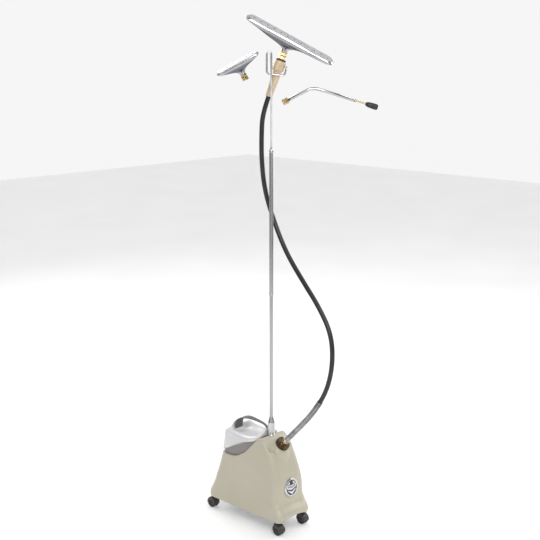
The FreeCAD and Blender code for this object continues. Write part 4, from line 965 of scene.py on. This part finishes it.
def make_head(name, body, nodes, neck, neck_axes, slope, rake, long, wide, neck_radius, lip):
    """Oblongs at shares s from neck to face: half length = neck + spread (long / 2 - neck)."""
    low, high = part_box(nodes[1])
    face_axes = tilted_axes(slope, rake)
    face = np.array((low + high) / 2) + face_axes[2] * FACE_BACK
    rise = float(np.linalg.norm(face - neck))
    s = np.concatenate([np.linspace(0, 1, BODY_ROWS, endpoint=False), np.ones(ROLL_ROWS)])
    lip_share = 1 - lip / rise
    spread = smooth_through(s, [0, 0.20, 0.38, 0.52, 0.66, lip_share, 1],
                            [0, 0.03, 0.20, 0.46, 0.76, 0.985, 1.0])
    half = neck_radius + spread * (long / 2 - neck_radius)
    width = smooth_through(s, [0, 0.22, 0.45, lip_share, 1],
                           [neck_radius, neck_radius * 0.98, neck_radius * 1.02,
                            wide / 2 - 0.2 * MM, wide / 2])
    turn = step_between(s, 0.15, 0.75)[:, None, None]
    axes = (1 - turn) * neck_axes + turn * face_axes
    axes /= np.linalg.norm(axes, axis=2)[:, :, None]
    centre = neck + (face - neck) * s[:, None]
    roll = np.concatenate([np.zeros(BODY_ROWS), np.radians(np.linspace(0, 90, ROLL_ROWS))])
    centre = centre + axes[:, 2] * (LIP_SOFT * (np.sin(roll) - (s == 1)))[:, None]
    inset = LIP_SOFT * (1 - np.cos(roll))
    bulge = LIP_BULGE * np.exp(-(((s - 1 + 0.5 * lip / rise) / (0.4 * lip / rise)) ** 2))
    half, width = half - inset + bulge, width - inset + bulge
    angle = np.linspace(0, 2 * np.pi, HEAD_COLUMNS, endpoint=False)
    flat = np.maximum(half - width, 0)[:, None]
    bias = np.clip(np.cos(angle) * 2.2, -1, 1)[None]
    x = flat * bias + width[:, None] * np.cos(angle)[None]
    y = width[:, None] * np.sin(angle)[None]
    grid = centre[:, None] + x[..., None] * axes[:, None, 0] + y[..., None] * axes[:, None, 1]
    floor, out = centre[-1] - axes[-1, 2] * FACE_DROP, grid[-1] - centre[-1]
    ends = [np.repeat(point[None, None], HEAD_COLUMNS, axis=1) for point in (neck, floor)]
    rings = [(floor + out * share)[None] for share in (0.985, 0.3)]
    grid = np.concatenate([ends[0], grid, *rings, ends[1]])
    # Painted shade a point: strongest on the flat sides halfway from neck to lip, full on the sunk floor under the
    # face plate.
    web = np.zeros(len(grid))
    web[1:BODY_ROWS + 1] = np.exp(-(((s[:BODY_ROWS] - 0.50) / 0.26) ** 4))
    web = web[:, None] * np.exp(-(np.cos(angle)[None] * 1.12) ** 6)
    web[-3:] = 1
    head = grids_object(name, [grid], web=web)
    finish_piece(head, body, head_metal, "cast_head", nodes[0])


def make_heads():
    """The large head stands on its nut; the small one's neck is set back from its face."""
    neck = HANDLE_FOOT + HANDLE_AXES[2] * (HANDLE_LONG + RING_THICK + HEAD_NUT_LONG + 2 * NUT_GAP)
    make_head("large_steam_head", "large_head", ("head_body", "head_face"), neck,
              tilted_axes(LARGE_NECK_SLOPE, 0), LARGE_SLOPE, LARGE_RAKE, 308 * MM, 37 * MM,
              11 * MM, 12 * MM)
    low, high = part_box("small_head_face")
    slope_axes = tilted_axes(SMALL_SLOPE, 0)
    centre = np.array((low + high) / 2) + tilted_axes(SMALL_SLOPE, SMALL_RAKE)[2] * FACE_BACK
    neck = centre - slope_axes[2] * SMALL_REACH
    make_head("small_steam_head", "small_head", ("small_head_body", "small_head_face"), neck,
              slope_axes, SMALL_SLOPE, SMALL_RAKE, 148 * MM, 30 * MM, 10 * MM, 10 * MM)
    nut = hexagon_grid(21 * MM, -20 * MM - NUT_GAP, -NUT_GAP, 6.05 * MM, neck, slope_axes,
                       grooves=[-step * MM for step in (5, 9, 14)])
    nut = grids_object("small_head_nut_hexagon", [nut])
    finish_piece(sharpen(nut, 25), "small_nut", brass, "brass", "small_head_nut")


make_heads()

# %% [markdown]
# ## The pipe steamer
# The spare pipe is a bent plated tube with a brass nut at one end and, on a thin stud at the
# other, a ridged black knob. The bend is one arc between two straight legs.

# %% Pipe steamer
PIPE_FOOT, PIPE_HEIGHT, PIPE_RADIUS, PIPE_BEND = 46.5 * MM, 1.4845, 5.5 * MM, 60 * MM
PIPE_RISE, PIPE_FALL, PIPE_FIRST, PIPE_SECOND = 27, -17, 100 * MM, 146 * MM
KNOB_START, KNOB_BORE = 35.4 * MM, 11.9 * MM
black_plastic = finish("black_plastic", (0.010, 0.010, 0.010), (0.024, 0.023, 0.022), 0.42,
                       spread=0.08, cloud=20, grain=900, bump=0.2)
pipe_metal = finish("pipe_plate", (0.44, 0.44, 0.45), (0.56, 0.56, 0.57), 0.2, metal=1.0,
                    cloud=35, grain=1200, bump=0.05)


def in_bracket_plane(slope):
    """A direction in the bracket's plane, rising to its right by a slope in degrees."""
    slope = math.radians(slope)
    return np.array([math.cos(slope), 0, math.sin(slope)]) @ TURN


def make_pipe_steamer():
    """Two legs and one bend drawn as a tube, and turned fittings about each leg's line."""
    start = bracket(PIPE_FOOT, 0, PIPE_HEIGHT)
    rise, fall = in_bracket_plane(PIPE_RISE), in_bracket_plane(PIPE_FALL)
    bend = start + rise * PIPE_FIRST
    end = bend + fall * PIPE_SECOND
    path = eased([start, bend, end], PIPE_BEND, steps=24)
    tube = grids_object("pipe_steamer_tube", [drawn_grid(path, PIPE_RADIUS, steps=28)])
    finish_piece(tube, "pipe", pipe_metal, "chrome", "pipe_tube")
    nut = hexagon_grid(18 * MM, -10 * MM, 10 * MM, 5.55 * MM, start, axes_from(rise),
                       grooves=(-5.5 * MM, -1.5 * MM))
    nut = grids_object("pipe_nut_hexagon", [nut])
    finish_piece(sharpen(nut, 25), "pipe_nut_body", brass, "brass", "pipe_nut")
    axes = axes_from(fall)
    stud = eased([(0, -2), (5.5, -2), (5.5, 1.5), (4.6, 3), (2.6, 3.4), (2.6, 47), (0, 47)],
                 0.5) * MM
    stud = grids_object("pipe_end_stud", [turned_grid(stud, 48, end, axes)])
    finish_piece(stud, "pipe", brass, "chrome", "pipe_stud")
    knob = eased([(2.65, 0), (5.2, 0), (7.4, 6), (8.7, 9), (9.9, 24), (10, 36), (8.2, 42),
                  (0, 42)], 2.2, steps=7) * MM
    knob = np.concatenate([[(0, KNOB_BORE), (knob[0, 0], KNOB_BORE)], knob])
    gripped = step_between(knob[:, 1], 8 * MM, 12 * MM)
    knob[:, 1] += KNOB_START

    def ridges(angle, row):
        return 1 - 0.07 * gripped[row] * np.clip(0.5 - 0.5 * np.cos(10 * angle), 0, 1) ** 2

    knob = grids_object("pipe_end_knob", [turned_grid(knob, 120, end, axes, ridges)])
    finish_piece(knob, "knob", black_plastic, "black_plastic", "pipe_knob")


make_pipe_steamer()

# %% [markdown]
# ## Badge
# The front carries a round plate with no lettering: a black disc with a silver scalloped rim, a
# field with plain bars, two flanks that leave a dark triangle above, and a chevron below. Flat
# raised shapes are ribbons or fans of points lifted off the plate, so they stay real geometry.

# %% Badge
silver = finish("badge_silver", (0.55, 0.55, 0.57), (0.72, 0.72, 0.74), 0.25, metal=0.9,
                cloud=80, grain=1200, bump=0.05)
badge_black = finish("badge_black", (0.012, 0.012, 0.013), (0.03, 0.03, 0.032), 0.28, cloud=50,
                     grain=1000, bump=0.05)
BADGE_LOW, BADGE_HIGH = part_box("badge")
BADGE_SHIFT = (0, 0.5 * MM, 5 * MM)


def raised_fan(rim, low, high, inset=0.35 * MM):
    """A star-shaped flat form: middle, drawn-in top edge, full edge, foot."""
    middle = rim.mean(axis=0)
    top = middle + (rim - middle) * (1 - inset / np.abs(rim - middle).max())
    levels = [(np.tile(middle, (len(rim), 1)), high), (top, high), (rim, high - inset),
              (rim, low), (np.tile(middle, (len(rim), 1)), low)]
    return np.stack([np.column_stack([ring, np.full(len(rim), z)]) for ring, z in levels])


def mirrored(points):
    """The right half of an outline and its mirror image, as one closed outline."""
    right = np.array(points, float)
    return np.concatenate([right, (right * (-1, 1))[-2:0:-1]])


def chevron(reach, drop, thick, at, low, high):
    """A V-shaped ribbon: three stations, each with a four-cornered section."""
    stations = np.array([(-reach, at + drop), (0, at), (reach, at + drop)])
    rows = []
    for (x, y), taper in zip(stations, (0.55, 1, 0.55)):
        half = thick / 2 * taper
        rows.append([(x, y - half, low), (x, y - half, high), (x, y + half, high),
                     (x, y + half, low)])
    rows = [[rows[0][0]] * 4, *rows, [rows[-1][0]] * 4]
    return np.array(rows)


def make_badge():
    """Disc and rim turned about the badge's own axis; the rim's edge is 1 + 2.8 % |cos 6a|."""
    centre = np.array((BADGE_LOW + BADGE_HIGH) / 2) + BADGE_SHIFT
    lean = math.atan2(9, 84)
    across, up = np.array([1.0, 0, 0]), np.array([0, math.sin(lean), math.cos(lean)])
    axes = np.array([across, up, np.cross(across, up)])
    disc = eased([(0, -1.5), (31.5, -1.5), (31.5, 1.0), (28, 1.6), (0, 1.6)], 0.7) * MM
    disc = grids_object("badge_disc", [turned_grid(disc, 144, centre, axes)])
    finish_piece(disc, "root", badge_black, "badge_plate", "badge")
    angle = np.linspace(0, 2 * np.pi, 288, endpoint=False)
    scallop = 1 + 0.028 * np.abs(np.cos(6 * angle))
    outline = eased([(26.2, 0.5), (26.2, 2.2), (28.2, 2.7), (32.2, 1.2), (32.2, -1.5),
                     (26.2, -1.5), (26.2, 0.5)], 0.5) * MM
    rim = turned_grid(outline, 288, centre, axes, lambda a, row: np.broadcast_to(
        np.where(outline[row, 0] > 27 * MM, scallop[None], 1.0), (len(outline), 288)))
    rim = grids_object("badge_rim", [rim])
    finish_piece(rim, "root", silver, "badge_plate")
    field = mirrored([(0, 8.5), (8, 8.5), (21, 13), (24, 4), (21, -3), (0, -9)])
    flank = np.array([(7, 22.5), (19.5, 15.5), (9, 10.5)])
    marks = [raised_fan(shape * MM, 1.2 * MM, 2.4 * MM)
             for shape in (field, flank, flank[::-1] * (-1, 1))]
    marks.append(chevron(18.5 * MM, 11 * MM, 9 * MM, -20 * MM, 1.2 * MM, 2.6 * MM))
    marks = [placed(mark, centre, axes) for mark in marks]
    marks = grids_object("badge_marks", marks, smooth=False)
    finish_piece(marks, "root", silver, "badge_plate")
    bar = np.array([(-1.3, -3.4), (1.3, -3.4), (1.3, 3.4), (-1.3, 3.4)])
    bars = [raised_fan((bar + (place, 1 + abs(place) * 0.22)) * MM, 2.2 * MM, 2.9 * MM)
            for place in (-15, -9, -3, 3, 9, 15)]
    bars = [placed(mark, centre, axes) for mark in bars]
    bars = grids_object("badge_bars", bars, smooth=False)
    finish_piece(bars, "root", badge_black, "badge_plate")


make_badge()

# %% [markdown]
# ## Casters
# Each caster is a twin wheel under a rounded hood. The hood's section is a closed C-shaped
# strip, carried through part of a turn about the axle. The wheels are turned about the same
# axle, with a rounded tread, one groove each and a dished hub.

# %% Casters
tread = finish("wheel_tread", (0.012, 0.011, 0.010), (0.030, 0.028, 0.026), 0.55, cloud=60,
               grain=800, bump=0.3)
hood_plastic = finish("hood_plastic", (0.020, 0.018, 0.016), (0.040, 0.037, 0.034), 0.40,
                      cloud=30, grain=900, bump=0.2)
AXLE_AXES = np.array([[0, 1, 0], [0, 0, 1], [1, 0, 0]], float)


def c_section(half, outer, side, thick):
    """Outer and inner lines of the hood's section, as (radius, place along the axle)."""
    line = eased([(side, -half), (outer, -half), (outer, half), (side, half)], 4.5 * MM, steps=7)
    inner = line * ((outer - thick) / outer, (half - thick) / half)
    inner[:, 0] = np.maximum(inner[:, 0], side)
    return line, inner


def make_caster(corner):
    """The hood is (radius cos a, radius sin a) about the axle, its nose 10 % fuller ahead."""
    axle = np.array(JOINTS["roll_" + corner]["pos_m"])
    pivot = np.array(JOINTS["swivel_" + corner]["pos_m"])
    trail = math.copysign(1, axle[1] - pivot[1])
    line, inner = c_section(13.6 * MM, 20.6 * MM, 9 * MM, 1.0 * MM)
    loop = np.concatenate([line, inner[::-1]])
    sweep = np.radians(np.linspace(-8, 188, 44))
    nose = 1 + 0.10 * np.exp(-((np.degrees(sweep) - 62) / 38) ** 2)
    y = trail * -np.cos(sweep)[:, None] * loop[None, :, 0] * nose[:, None]
    z = np.sin(sweep)[:, None] * loop[None, :, 0] * nose[:, None]
    x = np.repeat(loop[None, :, 1], len(sweep), axis=0)
    hood = axle + np.stack([x, y, z], axis=-1)
    count = len(line)
    caps = [np.stack([row[:count], row[count:][::-1]]) for row in (hood[0], hood[-1])]
    post_foot = min(axle[2] + 16 * MM, pivot[2])
    post = eased([(0, post_foot), (8.6 * MM, post_foot), (7.2 * MM, pivot[2] - 2 * MM),
                  (7.2 * MM, pivot[2] + 1.5 * MM), (0, pivot[2] + 1.5 * MM)], 1.2 * MM)
    post = turned_grid(post, 40, (pivot[0], pivot[1], 0))
    hood = grids_object("caster_cover_" + corner, [hood, post], strips=caps)
    finish_piece(hood, "caster_" + corner, hood_plastic, "black_plastic",
                 "caster_hood_" + corner)
    grids = []
    for side in (-1, 1):
        wheel = eased([(2, 0), (5.5, 0), (7, 0.2), (14.5, 0.2), (17.6, 0.3), (18, 2),
                       (18, 3.2), (17.4, 3.6), (17.4, 4.2), (18, 4.6), (18, 6.8), (17.0, 9),
                       (14.2, 9), (13.2, 7.8), (6.5, 7.8), (5.2, 9), (2, 9), (2, 0)], 0.7) * MM
        wheel[:, 1] = side * (3.5 * MM + wheel[:, 1])
        grids.append(turned_grid(wheel, 72, axle, AXLE_AXES))
    rod = np.array([(0, -3.6), (3, -3.6), (3, 3.6), (0, 3.6)]) * MM
    grids.append(turned_grid(rod, 72, axle, AXLE_AXES))
    wheels = grids_object("caster_twin_wheels_" + corner, grids)
    finish_piece(sharpen(wheels, 40), "wheels_" + corner, tread, "wheel_rubber",
                 "caster_wheels_" + corner)


for corner in ("front_left", "front_right", "rear_left", "rear_right"):
    make_caster(corner)

# %% [markdown]
# ## Everything else keeps its working shape
# What sits inside, and the small fittings at the back, already have their true shape. They get
# the finish of the real thing: white moulded plastic, rubber, or dull heated steel.

# %% Finishes for the other solids
white_plastic = finish("white_plastic", (0.70, 0.70, 0.68), (0.80, 0.80, 0.78), 0.42, cloud=18,
                       grain=900, bump=0.1)
cream_plastic = finish("cream_plastic", (0.62, 0.58, 0.48), (0.70, 0.66, 0.56), 0.4, cloud=18,
                       grain=900, bump=0.1)
seal_rubber = finish("seal_rubber", (0.014, 0.014, 0.014), (0.03, 0.03, 0.03), 0.6, cloud=40,
                     grain=700, bump=0.2)
heated_steel = finish("heated_steel", (0.16, 0.13, 0.12), (0.34, 0.31, 0.30), 0.42, metal=1.0,
                      cloud=60, grain=900, bump=0.15)
SLOT_FINISHES = {
    "steel": steel, "seal_rubber": seal_rubber, "element_steel": heated_steel, "brass": brass,
    "chrome": chrome, "pole_tube": pole_metal, "cast_head": head_metal,
    "face_plate": face_metal, "well_plastic": white_plastic, "black_plastic": black_plastic,
    "gland_plastic": cream_plastic, "wheel_rubber": tread, "casing_plastic": casing_plastic,
    "bottle_plastic": bottle_plastic, "grip_plastic": strap_plastic, "wood": wood,
    "hose_rubber": hose_rubber, "dark_collar": bronze, "badge_plate": badge_black,
}
for subpart in frame["record"]["subparts"]:
    node = frame["nodes"][subpart["node"]]
    node.data.materials.clear()
    node.data.materials.append(SLOT_FINISHES[subpart["material_slot"]])
print("finished", len(frame["nodes"]), "solids")

# %% [markdown]
# ## Light and floor
# Plain soft light suits plated metal: large pale panels give it broad reflections. One big
# panel to the left and above is the key, a weaker one fills from the right, and a third lights
# the back. The sky is pale too, with dark bands that stay in one place, so that the plating
# has something dark to mirror.

# %% Studio
FLOOR_HALF = 9.0


def panel(name, place, aim, width, height, power):
    """An oblong light of so many watts at a place, whose face looks at a point."""
    data = bpy.data.lights.new(name, "AREA")
    data.shape = "RECTANGLE"
    data.size, data.size_y, data.energy = width, height, power
    light = bpy.data.objects.new(name, data)
    light.location = place
    light.rotation_euler = (Vector(aim) - Vector(place)).to_track_quat("-Z", "Y").to_euler()
    bpy.context.scene.collection.objects.link(light)


def banded_sky():
    """Grey by how far a direction lies across the scene, fading to white on the side away."""
    world = bpy.data.worlds.new("studio_sky")
    world.use_nodes = True
    tree = world.node_tree
    place = tree.nodes.new("ShaderNodeTexCoord")
    across = tree.nodes.new("ShaderNodeVectorMath")
    across.operation = "DOT_PRODUCT"
    across.inputs[1].default_value = tuple(TURN[0])
    behind = tree.nodes.new("ShaderNodeVectorMath")
    behind.operation = "DOT_PRODUCT"
    behind.inputs[1].default_value = tuple(-TURN[1])
    bands = tree.nodes.new("ShaderNodeValToRGB")
    spots = [(0.0, 0.10), (0.12, 0.14), (0.20, 1.0), (0.40, 1.0), (0.46, 0.22), (0.56, 0.18),
             (0.62, 1.0), (0.80, 1.0), (0.90, 0.12)]
    while len(bands.color_ramp.elements) < len(spots):
        bands.color_ramp.elements.new(0.5)
    for element, (spot, grey) in zip(bands.color_ramp.elements, spots):
        element.position = spot
        element.color = (grey, grey, grey, 1)
    centred = tree.nodes.new("ShaderNodeMapRange")
    centred.inputs["From Min"].default_value = -1
    edge = tree.nodes.new("ShaderNodeMapRange")
    edge.inputs["From Min"].default_value = -0.25
    edge.inputs["From Max"].default_value = 0.1
    mix = tree.nodes.new("ShaderNodeMix")
    mix.data_type = "RGBA"
    mix.inputs["A"].default_value = (1, 1, 1, 1)
    tree.links.new(place.outputs["Generated"], across.inputs[0])
    tree.links.new(place.outputs["Generated"], behind.inputs[0])
    tree.links.new(across.outputs["Value"], centred.inputs["Value"])
    tree.links.new(centred.outputs["Result"], bands.inputs["Fac"])
    tree.links.new(behind.outputs["Value"], edge.inputs["Value"])
    tree.links.new(edge.outputs["Result"], mix.inputs["Factor"])
    tree.links.new(bands.outputs["Color"], mix.inputs["B"])
    tree.links.new(mix.outputs["Result"], tree.nodes["Background"].inputs["Color"])
    tree.nodes["Background"].inputs["Strength"].default_value = 0.92
    return world


def make_studio():
    """A flat grid of floor, the sky and three panels."""
    line = np.linspace(-FLOOR_HALF, FLOOR_HALF, 25)
    x, y = np.meshgrid(line, line, indexing="ij")
    floor = grids_object("studio_floor", [], strips=[np.stack([x, y, 0 * x], axis=-1)],
                         closed=False)
    pale = finish("floor_paper", (0.86, 0.86, 0.86), (0.90, 0.90, 0.90), 0.85, cloud=2,
                  grain=60, bump=0.02, Emission_Color=(1, 1, 1, 1), Emission_Strength=0.13)
    floor.data.materials.append(pale)
    bpy.context.scene.world = banded_sky()
    panel("key_panel", (-2.6, -3.4, 3.6), (0, 0, 0.7), 2.4, 2.4, 112)
    panel("fill_panel", (3.2, -1.6, 2.2), (0, 0, 0.8), 2.0, 2.6, 38)
    panel("back_panel", (0.6, 3.2, 2.8), (0, 0, 0.9), 2.6, 1.6, 50)


make_studio()
bpy.context.scene.view_settings.view_transform = "Standard"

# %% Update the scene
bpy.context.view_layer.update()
